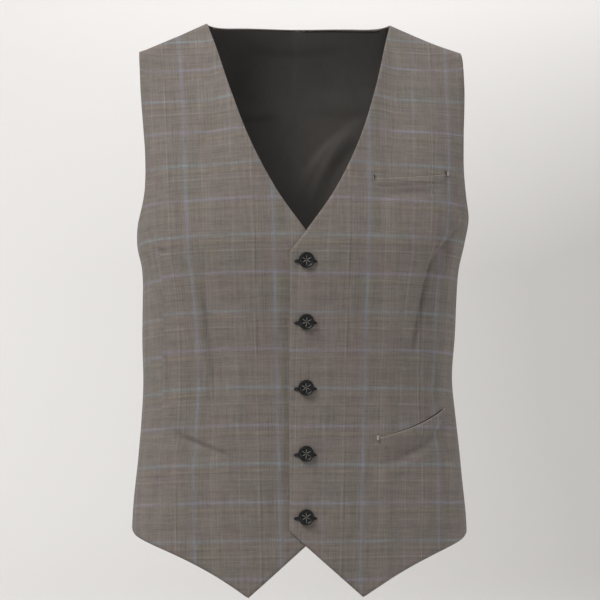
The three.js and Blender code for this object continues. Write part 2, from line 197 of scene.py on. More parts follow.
@dataclass(frozen=True)
class BodyForm:
    """The surface that the worn cloth follows, in millimetres."""

    centre_y: float = -12.0
    chest_z: float = -235.0
    underarm_z: float = -215.0
    neck_half: float = 104.4
    neck_point_z: float = 17.5
    neck_rise: float = 143.0
    shoulder_half: Pair = (185.5, 180.5)
    shoulder_fall: Pair = (0.445, 0.486)
    shoulder_ease: float = 0.0007
    shoulder_roll: float = 14.0
    roll_from: float = 0.35
    roll_full: float = 0.85
    front_bend: float = 1.2
    back_bend: float = 2.1
    lean_round: float = 0.75
    seam_gap: float = 0.04
    probe: float = 0.6
    lowest_z: float = -640.0
    angle_steps: int = 180
    search_steps: int = 30
    rise_steps: int = 24

    def ridge(self, side: Side, x: Array) -> Array:
        """Height of the line over the shoulder where front and back meet.

        Args:
            side: Left or right.
            x: Distance from the centre line.

        Returns:
            The height at each distance.
        """
        out = x - self.neck_half
        line = self.neck_point_z - side.pick(self.shoulder_fall) * out
        inside = np.clip(1 - (x / self.neck_half) ** 2, 0, None) ** 1.5
        return np.where(out >= 0, line + self.shoulder_ease * out * out, line + self.neck_rise * inside)

    def roll(self, drop: Array, rise: Array) -> Array:
        """Half thickness of the round that the cloth makes over the shoulder.

        Args:
            drop: Depth below the shoulder line.
            rise: Share of the way from the chest to the shoulder line.

        Returns:
            The half thickness at each place.
        """
        into = np.clip(self.shoulder_roll - drop, 0, self.shoulder_roll)
        weight = smooth_step((rise - self.roll_from) / (self.roll_full - self.roll_from))
        return weight * np.sqrt(self.shoulder_roll**2 - into**2)

    def section(self, side: Side, face: Face, z: Array, angle: Array) -> Array:
        """Points of level sections.

        Args:
            side: Left or right.
            face: Front or back.
            z: Heights.
            angle: 0 on the centre line, a quarter turn on the side seam.

        Returns:
            Points, one row each.
        """
        half = smooth_column(RINGS, side.value, z)
        depth = smooth_column(RINGS, face.value, z)
        power = smooth_column(RINGS, "power", z)
        across, along = np.sin(angle), np.maximum(np.cos(angle), 0)
        reach = ((along / depth) ** power + (across / half) ** power) ** (-1 / power)
        x = reach * across
        bend = self.front_bend if face is Face.FRONT else self.back_bend
        ridge = self.ridge(side, x)
        rise = part_of(z, self.chest_z, ridge)
        leaning = reach * along * (1 - rise**bend) ** self.lean_round
        off = np.cbrt(leaning**3 + self.roll(ridge - z, rise) ** 3)
        y = self.centre_y * (1 - rise * rise) + face.outward * (off + self.seam_gap / 2)
        return np.stack([side.sign * x, y, np.broadcast_to(z, x.shape)], axis=-1)

    @lru_cache(maxsize=None)
    def table(self, side: Side, face: Face) -> tuple[Array, Array, Array]:
        """Levels, their half girths, and angles by level and share of the half girth.

        Args:
            side: Left or right.
            face: Front or back.

        Returns:
            The levels, one half girth for each, and one row of angles for each.
        """
        levels = np.arange(self.lowest_z, self.chest_z + 0.5, 1.0)
        angles = np.linspace(0, QUARTER, self.angle_steps + 1)
        points = self.section(side, face, *np.meshgrid(levels, angles, indexing="ij"))
        steps = np.linalg.norm(np.diff(points, axis=1), axis=2)
        lengths = np.pad(np.cumsum(steps, axis=1), ((0, 0), (1, 0)))
        shares = np.linspace(0, 1, 2 * self.angle_steps + 1)
        at_share = np.stack([np.interp(shares, row / row[-1], angles) for row in lengths])
        return levels, lengths[:, -1], at_share

    def side_girth(self, side: Side, face: Face, z: Array) -> Array:
        """Girth of the side seam from the centre line, at each height."""
        levels, totals, _ = self.table(side, face)
        return np.interp(np.minimum(z, self.chest_z), levels, totals)

    def point(self, side: Side, face: Face, q: Array, z: Array) -> Array:
        """Points of the surface at girths from the centre line and heights.

        Args:
            side: Left or right.
            face: Front or back.
            q: Girths from the centre line.
            z: Heights.

        Returns:
            Points, one row each.
        """
        levels, _, at_share = self.table(side, face)
        last = at_share.shape[1] - 1
        row = np.clip(np.minimum(z, self.chest_z) - levels[0], 0, len(levels) - 1.001)
        low = row.astype(int)
        share = part_of(np.abs(q) / self.side_girth(side, face, z)) * last
        left = np.minimum(share.astype(int), last - 1)
        upper, lower = (
            mix(at_share[level, left], at_share[level, left + 1], share - left) for level in (low, low + 1)
        )
        points = self.section(side, face, z, mix(upper, lower, row - low))
        points[..., 0] = np.where(q < 0, -points[..., 0], points[..., 0])
        return points

    def girth_at(self, side: Side, face: Face, x: Array, z: Array) -> Array:
        """Girths at which the surface stands given distances from the centre line.

        Args:
            side: Left or right.
            face: Front or back.
            x: Distances from the centre line.
            z: Heights.

        Returns:
            The girths.
        """
        low = np.zeros(np.broadcast(x, z).shape)
        high = self.side_girth(side, face, z) + low
        for _ in range(self.search_steps):
            middle = (low + high) / 2
            short = np.abs(self.point(side, face, middle, z + 0 * middle)[..., 0]) < np.abs(x)
            low, high = np.where(short, middle, low), np.where(short, high, middle)
        return np.sign(x) * low

    def normal(self, side: Side, face: Face, q: Array, z: Array) -> Array:
        """Unit normals of the surface, pointing out of the body.

        Args:
            side: Left or right.
            face: Front or back.
            q: Girths from the centre line.
            z: Heights.

        Returns:
            Normals, one row each.
        """
        after_q = np.minimum(q + self.probe, self.side_girth(side, face, z))
        across = self.point(side, face, after_q, z) - self.point(side, face, q - self.probe, z)
        above, below = (self.point(side, face, q, z + step) for step in (self.probe / 4, -self.probe))
        normal = np.cross(across, above - below)
        normal /= np.maximum(np.linalg.norm(normal, axis=-1, keepdims=True), 1e-9)
        centre = self.point(side, face, q, z)
        centre[..., 1] -= self.centre_y
        centre[..., 2] = 0
        turn = np.where((normal * centre).sum(axis=-1) < 0, -1.0, 1.0)
        return normal * turn[..., None]

    def rise_length(self, side: Side, face: Face, q: Array, z: Array) -> Array:
        """Length of cloth from the chest line to each place, up or (negative) down.

        Args:
            side: Left or right.
            face: Front or back.
            q: Girths from the centre line.
            z: Heights.

        Returns:
            The lengths.
        """
        total = np.minimum(z - self.chest_z, 0.0)
        top = np.maximum(z, self.chest_z)
        before = self.point(side, face, q, self.chest_z + 0 * q)
        for i in range(1, self.rise_steps + 1):
            level = self.chest_z + (top - self.chest_z) * i / self.rise_steps
            here = self.point(side, face, q, level)
            total = total + np.linalg.norm(here - before, axis=-1)
            before = here
        return total


FORM = BodyForm()


@dataclass(frozen=True)
class Fold:
    """A soft trough, or with a negative depth a ridge, along a bent run of girth and height.

    steep is its width on the right of the run and slack its width on the left. A crisp one comes
    to an edge, as a pressed or pinched crease does.
    """

    start: Pair
    bend: Pair
    end: Pair
    depth: float
    steep: float
    slack: float
    crisp: bool = False
    steps: int = 14
    end_fade: float = 0.7
    crisp_fade: float = 1.6

    def depth_at(self, q: Array, z: Array) -> Array:
        """How deep the fold is at each place, in millimetres.

        Args:
            q: Girths from the centre line.
            z: Heights.

        Returns:
            The depth at each place.
        """
        t = np.linspace(0, 1, self.steps + 1)[:, None]
        start, bend, end = (np.array(spot, float) for spot in (self.start, self.bend, self.end))
        route = (1 - t) ** 2 * start + 2 * t * (1 - t) * bend + t * t * end
        nearest, along, turn = np.full(q.shape, np.inf), np.zeros(q.shape), np.ones(q.shape)
        for i, run in enumerate(np.diff(route, axis=0)):
            off_q, off_z = q - route[i, 0], z - route[i, 1]
            part = part_of((off_q * run[0] + off_z * run[1]) / (run @ run))
            off_q, off_z = off_q - part * run[0], off_z - part * run[1]
            distance = np.hypot(off_q, off_z)
            closer = distance < nearest
            nearest = np.where(closer, distance, nearest)
            along = np.where(closer, (i + part) / self.steps, along)
            turn = np.where(closer, np.sign(run[0] * off_z - run[1] * off_q), turn)
        width = np.where(turn < 0, self.steep, self.slack)
        fade = np.sin(math.pi * part_of(along)) ** self.end_fade
        if self.crisp:
            return self.depth * fade * part_of(1 - nearest / width) ** self.crisp_fade
        return self.depth * fade * part_of(1 - (nearest / width) ** 2) ** 2


@dataclass(frozen=True)
class Swell:
    """A faint unevenness all over a panel, so that no stretch of cloth is a perfect surface."""

    height: float
    seed: float

    def height_at(self, q: Array, z: Array) -> Array:
        """How far the cloth stands out at each place, in millimetres.

        Args:
            q: Girths from the centre line.
            z: Heights.

        Returns:
            The height at each place.
        """
        s = self.seed
        wide = np.sin(q / 31 + s) * np.sin(z / 47 + 2.1 * s) + 0.7 * np.sin(q / 17 - z / 23 + 3.3 * s)
        fine = 0.4 * np.sin(z / 11 + q / 29 + 5 * s) * np.sin(q / 13 + s)
        return self.height * (wide + fine)


@dataclass
class Cut:
    """The cutting line of a panel, and how a square grid is stretched inside it."""

    side: Side
    face: Face
    overlap: float = 18.0
    v_break_z: float = -244.0
    corner_z: float = -544.6
    point_q: float = 62.4
    point_z: float = -616.5
    side_hem_z: Pair = (-557.5, -555.5)
    hem_sweep: Pair = (2.1, 2.3)
    back_neck_z: float = 21.6
    back_neck_flat: float = 4.0
    back_neck_dip: float = 46.0
    dip_power: float = 6.0
    back_hem_z: float = -549.0
    waist_v: float = 0.56
    point_u: float = 6 / 22
    neck_u: float = 7 / 12
    crowd: float = 1.35
    armhole_steps: int = 240

    @property
    def low_share(self) -> float:
        """Share of the rows that lie below the underarm."""
        return 18 / 32 if self.face is Face.FRONT else 11 / 22

    def seam(self, z: Array) -> Array:
        """Girth of the side seam at each height."""
        return FORM.side_girth(self.side, self.face, z)

    def row(self, t: Array) -> Array:
        """Height share of a row, from its share of the rows: closer towards the shoulder.

        Args:
            t: Shares of the rows.

        Returns:
            Shares of the height.
        """
        low = self.waist_v * t / self.low_share
        high = mix(self.waist_v, 1.0, 1 - (1 - part_of(t, self.low_share)) ** self.crowd)
        return np.where(t <= self.low_share, low, high)

    def armhole(self, t: Array) -> Array:
        """Places on the armhole edge at shares of its length from the underarm up.

        Args:
            t: Shares of its length.

        Returns:
            Girth and height, one row each.
        """
        seam = float(self.seam(np.array(FORM.underarm_z)))
        tip = self.shoulder(np.array(1.0))
        knots = np.array([(seam - inset, z) for inset, z in ARMHOLE[self.face]] + [tuple(tip)])
        last = len(knots) - 1
        fine = np.linspace(0, last, self.armhole_steps + 1)
        low = np.minimum(fine.astype(int), last - 1)
        w = (fine - low)[:, None]
        before, start, end, after = (knots[np.clip(low + k, 0, last)] for k in (-1, 0, 1, 2))
        away, home = (end - before) / 2, (after - start) / 2
        curve = start + away * w + (3 * (end - start) - 2 * away - home) * w**2
        curve = curve + (2 * (start - end) + away + home) * w**3
        run = np.pad(np.cumsum(np.linalg.norm(np.diff(curve, axis=0), axis=1)), (1, 0))
        return spots(*(np.interp(t * run[-1], run, column) for column in curve.T))

    def shoulder(self, t: Array) -> Array:
        """Places on the shoulder edge, from the neck point out.

        Args:
            t: Shares of its width.

        Returns:
            Girth and height, one row each.
        """
        x = mix(FORM.neck_half, self.side.pick(FORM.shoulder_half), t)
        z = FORM.ridge(self.side, x)
        return spots(FORM.girth_at(self.side, self.face, x, z), z)

    def hem(self, u: Array) -> Array:
        """Places on the hem, from the centre out.

        Args:
            u: Shares across.

        Returns:
            Girth and height, one row each.
        """
        side_z = self.side.pick(self.side_hem_z)
        seam = self.seam(np.array(side_z))
        if self.face is Face.BACK:
            return spots(seam * u, mix(self.back_hem_z, side_z, u * u))
        near = part_of(u, 0, self.point_u)
        part = part_of(u, self.point_u)
        drop = (side_z - self.point_z) * (1 - part) ** self.side.pick(self.hem_sweep)
        on_point = u <= self.point_u
        return spots(
            np.where(on_point, mix(-self.overlap, self.point_q, near), mix(self.point_q, seam, part)),
            np.where(on_point, mix(self.corner_z, self.point_z, near), side_z - drop),
        )

    def top(self, u: Array) -> Array:
        """Places on the top edge: the shoulder, and for a back the neck too.

        Args:
            u: Shares across.

        Returns:
            Girth and height, one row each.
        """
        if self.face is Face.FRONT:
            return self.shoulder(u)
        shoulder = self.shoulder(part_of(u, self.neck_u))
        share = np.sin(part_of(u, 0, self.neck_u) * QUARTER)
        rise = (self.back_neck_z - FORM.neck_point_z) * (1 - share**self.back_neck_flat)
        z = FORM.neck_point_z + rise - self.back_neck_dip * share**self.dip_power * (1 - share)
        neck = spots(FORM.girth_at(self.side, self.face, share * FORM.neck_half, z), z)
        return np.where((u >= self.neck_u)[..., None], shoulder, neck)

    def centre(self, v: Array) -> Array:
        """Places on the edge nearest to the centre line, from the hem up.

        Args:
            v: Shares of the height.

        Returns:
            Girth and height, one row each.
        """
        if self.face is Face.BACK:
            low, high = self.hem(np.zeros(1))[0, 1], self.top(np.zeros(1))[0, 1]
            return spots(0.0, mix(low, high, v))
        front_z = mix(self.corner_z, self.v_break_z, part_of(v, 0, self.waist_v))
        neck_z = mix(self.v_break_z, FORM.neck_point_z, part_of(v, self.waist_v))
        neck_x = smooth_column(NECK_EDGE, "x", neck_z)
        neck_q = FORM.girth_at(self.side, self.face, neck_x, neck_z)
        low = v <= self.waist_v
        return spots(np.where(low, -self.overlap, neck_q), np.where(low, front_z, neck_z))

    def side_edge(self, v: Array) -> Array:
        """Places on the side seam and the armhole, from the hem up.

        Args:
            v: Shares of the height.

        Returns:
            Girth and height, one row each.
        """
        z = mix(self.side.pick(self.side_hem_z), FORM.underarm_z, part_of(v, 0, self.waist_v))
        hole = self.armhole(part_of(v, self.waist_v))
        return np.where((v <= self.waist_v)[..., None], spots(self.seam(z), z), hole)

    def spread(self, u: Array, v: Array) -> tuple[Array, Array]:
        """Girth and height of places stretched evenly between the four edges.

        Args:
            u: Shares of the way from the centre edge to the side edge.
            v: Shares of the way from the hem to the top.

        Returns:
            The girths and the heights.
        """
        ends = np.array([0.0, 1.0])
        across, up = u[..., None], v[..., None]
        rows = mix(self.centre(v), self.side_edge(v), across)
        columns = mix(self.hem(u), self.top(u), up)
        low, high = (mix(a, b, across) for a, b in zip(self.centre(ends), self.side_edge(ends)))
        places = rows + columns - mix(low, high, up)
        return places[..., 0], places[..., 1]


@dataclass(frozen=True)
class Grain:
    """How the check lies on a panel: its phases, lean and drop towards the side, in millimetres."""

    warp_phase: float
    weft_phase: float = -30.0
    lean: float = 0.024
    level_z: float = -189.0
    side_drop: float = 12.0
    drop_power: float = 3.0
    upper: float = 1.0
    lower: float = 0.991


@dataclass(frozen=True)
class Tuck:
    """A line down a panel where cloth is taken up, as at a dart, so that the check jumps there.

    run holds its girth and height from the top down; across and up are the most that it takes.
    """

    run: tuple[Pair, ...]
    across: float
    up: float = 0.0
    past: float = 30.0
    swell_power: float = 0.8
    beside: float = 55.0
    fade: float = 50.0

    def girth(self, z: Array) -> Array:
        """Girth of the line at each height."""
        rising = self.run[::-1]
        return np.interp(z, [row[1] for row in rising], [row[0] for row in rising])

    def swell(self, z: Array) -> Array:
        """Share of the most that is taken up at each height, which fades out past its ends."""
        share = part_of(z, self.run[0][1] + self.past, self.run[-1][1] - self.past)
        return np.sin(math.pi * share) ** self.swell_power

    def near(self, z: Array) -> Array:
        """1 beside the line, fading to 0 past its ends.

        Args:
            z: Heights.

        Returns:
            The share at each height.
        """
        top, foot = self.run[0][1], self.run[-1][1]
        below, above = (z - foot + self.beside) / self.fade, (top + self.beside - z) / self.fade
        return smooth_step(below) * smooth_step(above)


def to_linear(rgb: Sequence[float]) -> Triple:
    """Linear colour from display levels of 0 to 255."""
    levels = [channel / 255 for channel in rgb]
    return tuple(c / 12.92 if c <= 0.04045 else ((c + 0.055) / 1.055) ** 2.4 for c in levels)


def times(colour: Triple, factor: float) -> Triple:
    """A colour made lighter or darker."""
    return tuple(factor * channel for channel in colour)


class Desk:
    """Lays out the nodes of one material."""

    def __init__(self, name: str) -> None:
        """Starts an empty material.

        Args:
            name: The material's name.
        """
        self.material = bpy.data.materials.new(name)
        self.material.use_nodes = True
        self.tree = self.material.node_tree
        self.tree.nodes.clear()

    def node(self, kind: str, inputs: dict[str | int, object], **settings: object) -> bpy.types.Node:
        """Adds a node.

        Args:
            kind: The node's type, without the words ShaderNode.
            inputs: A socket, number, vector or colour for each input.
            **settings: The node's properties.

        Returns:
            The node.
        """
        node = self.tree.nodes.new(f"ShaderNode{kind}")
        for name, value in settings.items():
            setattr(node, name, value)
        for name, value in inputs.items():
            if isinstance(value, Socket):
                self.tree.links.new(value, node.inputs[name])
            else:
                node.inputs[name].default_value = value
        return node

    def math(self, operation: str, a: Socket | float, b: Socket | float = 0.0) -> Socket:
        """Result of a Math node."""
        return self.node("Math", {0: a, 1: b}, operation=operation).outputs[0]

    def add(self, total: Socket, *others: Socket | float) -> Socket:
        """Adds up sockets and numbers.

        Args:
            total: The first of them.
            *others: The rest.

        Returns:
            Their sum.
        """
        for other in others:
            total = self.math("ADD", total, other)
        return total

    def scale(self, a: Socket, b: Socket | float) -> Socket:
        """A socket times a socket or number."""
        return self.math("MULTIPLY", a, b)

    def mix(self, factor: Socket | float, a: Socket | Triple, b: Socket, blend: str = "MIX") -> Socket:
        """Result of a colour Mix node."""
        a = a if isinstance(a, Socket) else (*a, 1.0)
        return self.node("Mix", {0: factor, 6: a, 7: b}, data_type="RGBA", blend_type=blend).outputs[2]

    def ramp(self, factor: Socket, stops: Sequence[tuple[float, Triple]]) -> Socket:
        """Colour of a ramp through the stops, which rise in place.

        Args:
            factor: Where to read it.
            stops: Place and colour of each stop.

        Returns:
            The colour.
        """
        node = self.node("ValToRGB", {0: factor})
        elements = node.color_ramp.elements
        while len(elements) < len(stops):
            elements.new(1.0)
        for element, (place, colour) in zip(elements, stops):
            element.position = place
            element.color = (*colour, 1.0)
        return node.outputs[0]

    def clouded(self, noise: Socket, colour: Triple, darkest: float) -> Socket:
        """A colour that a noise makes darker and lighter."""
        base = to_linear(colour)
        return self.ramp(noise, [(0.3, times(base, darkest)), (0.7, times(base, 1.3))])

    def noise(self, place: Socket, scale: Sequence[float], detail: float = 1.0, rough: float = 0.5) -> Socket:
        """Value of a noise texture with its own scale along each axis.

        Args:
            place: Where to read it.
            scale: Its scale along two or three axes.
            detail: Its number of finer layers.
            rough: How strong the finer layers are.

        Returns:
            The value, of 0 to 1.
        """
        place = self.node("Mapping", {"Vector": place, "Scale": (*scale, 1.0)[:3]}).outputs[0]
        inputs = {"Vector": place, "Scale": 1.0, "Detail": detail, "Roughness": rough}
        return self.node("TexNoise", inputs).outputs[0]

    def cloth_place(self) -> Socket:
        """The place on the flat cut, in metres."""
        return self.node("UVMap", {}, uv_map=CLOTH_MAP).outputs[0]

    def object_place(self) -> Socket:
        """The place on the object, in metres."""
        return self.node("TexCoord", {}).outputs["Object"]

    def split(self, place: Socket) -> Sequence[Socket]:
        """The three coordinates of a place."""
        return self.node("SeparateXYZ", {0: place}).outputs

    def bump(self, height: Socket, strength: float, distance: float) -> Socket:
        """Normal roughened by a height."""
        return self.node("Bump", {"Height": height, "Strength": strength, "Distance": distance}).outputs[0]

    def surface(self, **inputs: Socket | float) -> Material:
        """Ends the material in a principled surface with these inputs."""
        named = {name.replace("_", " "): value for name, value in inputs.items()}
        shader = self.node("BsdfPrincipled", named)
        self.node("OutputMaterial", {"Surface": shader.outputs[0]})
        return self.material


class Band(NamedTuple):
    """A coloured group of threads: place and width in millimetres, and its tint on the ground."""

    at: float
    wide: float
    tint: Triple


class Threads(NamedTuple):
    """One set of threads: its repeat in millimetres, scales of its wavering and slubs, and bands."""

    period: float
    run: Pair
    tuft: Pair
    bands: tuple[Band, ...]


# From one blue line to the next, read across the garment as it is worn
WARP = Threads(93.5, (34.0, 17.0), (620.0, 22.0), (
    Band(0.0, 5.6, (11, 24, 42)),
    Band(9.0, 9.0, (-6, -4, -6)),
    Band(19.2, 1.8, (22, 22, 18)),
    Band(22.6, 1.6, (15, 14, 10)),
    Band(26.4, 1.6, (14, 13, 8)),
    Band(30.0, 1.6, (8, 7, 4)),
    Band(50.5, 4.0, (14, 14, 24)),
    Band(71.4, 1.8, (26, 25, 20)),
    Band(73.8, 2.2, (-22, -22, -21)),
    Band(80.4, 2.0, (-14, -14, -13)),
    Band(83.8, 2.0, (-14, -14, -13)),
    Band(87.2, 2.6, (-13, -10, -6)),
))

# From one blue line down to the next but one
WEFT = Threads(81.7, (19.0, 34.0), (30.0, 560.0), (
    Band(0.0, 5.2, (21, 26, 45)),
    Band(7.6, 3.0, (13, 11, 0)),
    Band(11.4, 2.4, (-10, -12, -20)),
    Band(18.2, 1.8, (14, 12, 6)),
    Band(26.5, 9.0, (-10, -9, -10)),
    Band(40.9, 5.2, (12, 32, 42)),
    Band(47.4, 2.2, (16, 12, 0)),
    Band(51.4, 2.0, (-14, -15, -18)),
    Band(57.8, 1.8, (26, 24, 16)),
    Band(60.4, 2.2, (-12, -12, -11)),
    Band(71.0, 8.0, (-9, -8, -7)),
))

# Ramp stops: where pin stripes run in the repeat, and two faint drifts of the dye
STRIPE_BLOCKS = (
    (0.12, BLACK), (0.2, WHITE), (0.42, WHITE), (0.48, BLACK),
    (0.78, BLACK), (0.82, WHITE), (0.97, WHITE), (1.0, BLACK),
)
DYE_DRIFT = ((0.36, (1.024, 0.992, 0.992)), (0.5, WHITE), (0.64, (0.976, 1.014, 0.99)))
WARMTH = ((0.35, (1.02, 1.0, 1.0)), (0.5, WHITE), (0.65, (0.985, 1.0, 0.965)))


@dataclass(frozen=True)
class Suiting:
    """A worsted twill with a fine overcheck on a heathered brown-grey ground."""

    ground: Triple = (118.5, 111, 106.5)
    lead: float = 6.0
    shared_gap: float = 2.4
    twill_pitch: float = 0.0011
    pinstripe: float = 0.00235
    sway: float = 0.0022
    contrast: float = 2.3
    loss: float = 0.35
    faintest: float = 0.15
    slub_depth: float = 0.6
    stripe_depth: float = 0.04
    crossing: float = 0.16
    fleck_depth: float = 0.3
    mottle_depth: float = 0.22
    roughness: float = 0.9
    sheen: float = 0.06
    nap: float = 0.4

    def stops(self, threads: Threads) -> list[tuple[float, Triple]]:
        """Ramp stops for a set of threads, each band a soft line on the ground.

        Bands that nearly touch share the stop between them, as a ramp holds 32 at most.

        Args:
            threads: The set of threads.

        Returns:
            Place and colour of each stop.
        """
        ground, period = to_linear(self.ground), threads.period
        stops = [(0.0, ground)]
        for band in sorted(threads.bands, key=lambda row: (row.at + self.lead) % period):
            middle = (band.at + self.lead) % period / period
            reach = band.wide / 2 / period
            before = middle - reach
            if before > stops[-1][0] + self.shared_gap / period:
                stops.append((before, ground))
            elif len(stops) > 1:
                stops[-1] = ((stops[-1][0] + before) / 2, ground)
            tinted = to_linear([base + tint for base, tint in zip(self.ground, band.tint)])
            stops += [(middle, tinted), (min(middle + reach, 1.0), ground)]
        return stops

    def weave(self, desk: Desk, place: Socket, along: Socket, threads: Threads) -> tuple[Socket, Socket]:
        """Colour and strength of one set of threads, which waver along their length.

        Args:
            desk: The material's desk.
            place: The place on the flat cut.
            along: The coordinate that the set repeats along.
            threads: The set.

        Returns:
            The set's colour, and the light and dark of its single threads.
        """
        shifted = desk.add(along, self.lead * MM)
        phase = desk.math("FRACT", desk.math("DIVIDE", shifted, threads.period * MM))
        waver = desk.noise(place, threads.run, 2.0)
        strength = desk.math("MINIMUM", desk.add(desk.scale(waver, self.contrast), -self.loss), 1.0)
        strength = desk.math("MAXIMUM", strength, self.faintest)
        colour = desk.mix(strength, to_linear(self.ground), desk.ramp(phase, self.stops(threads)))
        dyed = desk.noise(place, [0.7 * scale + 3.0 for scale in threads.run])
        colour = desk.mix(1.0, colour, desk.ramp(dyed, DYE_DRIFT), "MULTIPLY")
        slub = desk.add(desk.noise(place, threads.tuft, 2.0, 0.65), -0.5)
        stripe = desk.math("SINE", desk.scale(along, 2 * math.pi / self.pinstripe))
        stripe = desk.scale(stripe, desk.ramp(phase, STRIPE_BLOCKS))
        stripe = desk.scale(stripe, desk.scale(waver, self.stripe_depth))
        return colour, desk.add(desk.scale(slub, self.slub_depth), stripe)

    def build(self) -> Material:
        """Makes the material."""
        desk = Desk("suiting twill")
        place = desk.cloth_place()
        across, up, _ = desk.split(place)
        sway = desk.scale(desk.add(desk.noise(place, (9.0, 9.0), 2.0), -0.5), self.sway)
        warp, warp_slub = self.weave(desk, place, desk.add(across, sway), WARP)
        weft, weft_slub = self.weave(desk, place, desk.scale(desk.add(up, sway), -1.0), WEFT)
        diagonal = desk.math("DIVIDE", desk.add(across, up), self.twill_pitch)
        twill = desk.math("SINE", desk.scale(diagonal, 2 * math.pi))
        woven = desk.mix(desk.add(desk.scale(twill, self.crossing), 0.5), warp, weft)
        fleck = desk.add(desk.noise(place, (1500.0, 160.0)), desk.noise(place, (160.0, 1500.0)), -1.0)
        mottle = desk.add(desk.noise(place, (70.0, 55.0), 3.0), -0.5)
        slubs = desk.add(warp_slub, weft_slub)
        uneven = desk.add(desk.scale(fleck, self.fleck_depth), desk.scale(mottle, self.mottle_depth))
        shade = desk.add(uneven, slubs, 1.0)
        warm = desk.ramp(desk.noise(place, (26.0, 21.0), 2.0), WARMTH)
        colour = desk.mix(1.0, desk.mix(1.0, woven, shade, "MULTIPLY"), warm, "MULTIPLY")
        height = desk.add(desk.scale(twill, 0.3), desk.scale(fleck, 1.1), slubs)
        return desk.surface(
            Base_Color=colour,
            Roughness=self.roughness,
            Specular_IOR_Level=0.15,
            Sheen_Weight=self.sheen,
            Sheen_Roughness=0.5,
            Normal=desk.bump(height, self.nap, 0.0003),
        )


@dataclass(frozen=True)
class Satin:
    """A dark lining satin with fine floating threads along its length, with painted light and shade: paler
    towards the waist, darker at the neck.
    """

    # The first colour is the painted shade at the neck, the second the painted light towards the waist.
    neck: Triple = (58, 55.5, 53.5)
    painted_light_waist: Triple = (86, 82, 79)
    painted_light_up: float = 0.08
    painted_shade_up: float = 0.24
    roughness: float = 0.5
    sheen: float = 0.1

    def build(self) -> Material:
        """Makes the material."""
        desk = Desk("lining satin")
        place = desk.cloth_place()
        threads = desk.noise(place, (2600.0, 90.0))
        mottle = desk.noise(place, (45.0, 30.0), 3.0)
        # Painted light and shade: the colour blends with height from the neck's darker tone to the waist's
        # paler one.
        rise = desk.math("SUBTRACT", desk.split(place)[1], self.painted_light_up)
        share = desk.math("DIVIDE", rise, self.painted_shade_up - self.painted_light_up)
        base = desk.ramp(share, [(0.0, to_linear(self.painted_light_waist)), (1.0, to_linear(self.neck))])
        blend = desk.add(desk.scale(threads, 0.6), desk.scale(mottle, 0.4))
        level = desk.ramp(blend, [(0.25, times(WHITE, 0.82)), (0.75, times(WHITE, 1.16))])
        return desk.surface(
            Base_Color=desk.mix(1.0, base, level, "MULTIPLY"),
            Roughness=desk.add(desk.scale(mottle, 0.12), self.roughness - 0.06),
            Specular_IOR_Level=0.3,
            Sheen_Weight=self.sheen,
            Sheen_Roughness=0.4,
            Normal=desk.bump(threads, 0.12, 0.0002),
        )


@dataclass(frozen=True)
class Polish:
    """Polished black button stock, or the paler ribs in its dish."""

    name: str
    colour: Triple
    roughness: float
    coat: float

    def build(self) -> Material:
        """Makes the material."""
        desk = Desk(self.name)
        place = desk.object_place()
        scuff = desk.noise(place, (1900.0,) * 3, 2.0)
        return desk.surface(
            Base_Color=desk.clouded(desk.noise(place, (240.0,) * 3, 3.0), self.colour, 0.75),
            Roughness=desk.add(desk.scale(scuff, 0.14), self.roughness - 0.05),
            Specular_IOR_Level=0.35,
            Coat_Weight=self.coat,
            Coat_Roughness=0.12,
            Normal=desk.bump(scuff, 0.06, 0.0001),
        )


@dataclass(frozen=True)
class Thread:
    """Twisted sewing thread."""

    name: str
    colour: Triple
    roughness: float = 0.6

    def build(self) -> Material:
        """Makes the material."""
        desk = Desk(self.name)
        fibre = desk.noise(desk.object_place(), (2200.0,) * 3, 2.0)
        return desk.surface(
            Base_Color=desk.clouded(fibre, self.colour, 0.7),
            Roughness=self.roughness,
            Sheen_Weight=0.15,
            Sheen_Roughness=0.5,
            Normal=desk.bump(fibre, 0.3, 0.0002),
        )


@dataclass(frozen=True)
class Backdrop:
    """Pale paper with painted shade: a little darker towards the lower right."""

    light: Triple = (238, 236, 235)
    dark: Triple = (196, 194, 192)
    wide: float = 1.7
    top_z: float = 0.55
    fade_tall: float = 0.765

    def build(self) -> Material:
        """Makes the material."""
        desk = Desk("studio paper")
        place = desk.object_place()
        x, _, z = desk.split(place)
        # Painted shade: the colour darkens towards the right and downwards.
        right = desk.add(desk.math("DIVIDE", x, self.wide), 0.5)
        down = desk.math("DIVIDE", desk.math("SUBTRACT", self.top_z, z), self.fade_tall)
        shade = desk.scale(right, desk.math("MINIMUM", down, 1.0))
        grain = desk.add(desk.noise(place, (60.0,) * 3, 2.0), -0.5)
        shade = desk.add(shade, desk.scale(grain, 0.01))
        colour = desk.ramp(shade, [(0.0, to_linear(self.light)), (1.0, to_linear(self.dark))])
        return desk.surface(Base_Color=colour, Roughness=0.95, Specular_IOR_Level=0.1)


class Finishes:
    """Every finish of the garment, made once."""

    def __init__(self) -> None:
        """Makes the finishes."""
        self.suiting = Suiting().build()
        self.lining = Satin().build()
        self.horn = Polish("button black", (7, 7, 7), 0.48, 0.04).build()
        self.ribs = Polish("button ribs", (112, 111, 106), 0.35, 0.15).build()
        self.twist = Thread("buttonhole twist", (24, 20, 18)).build()
        self.tack = Thread("tack thread", (168, 160, 150)).build()
        # Pale thread colour for tubes that paint the highlight on the welts' folded top edges.
        self.edge = Thread("folded edge painted highlight", (150, 140, 131), 0.9).build()
        # Dark thread colour for tubes that paint the shadow in the pocket mouths.
        self.mouth_shadow = Thread("pocket mouth painted shadow", (38, 33, 29), 0.95).build()


def put(name: str, data: bpy.types.ID) -> Piece:
    """Puts a new object with this data in the scene.

    Args:
        name: The object's name.
        data: Its mesh, camera or light.

    Returns:
        The object.
    """
    obj = bpy.data.objects.new(name, data)
    bpy.context.scene.collection.objects.link(obj)
    return obj


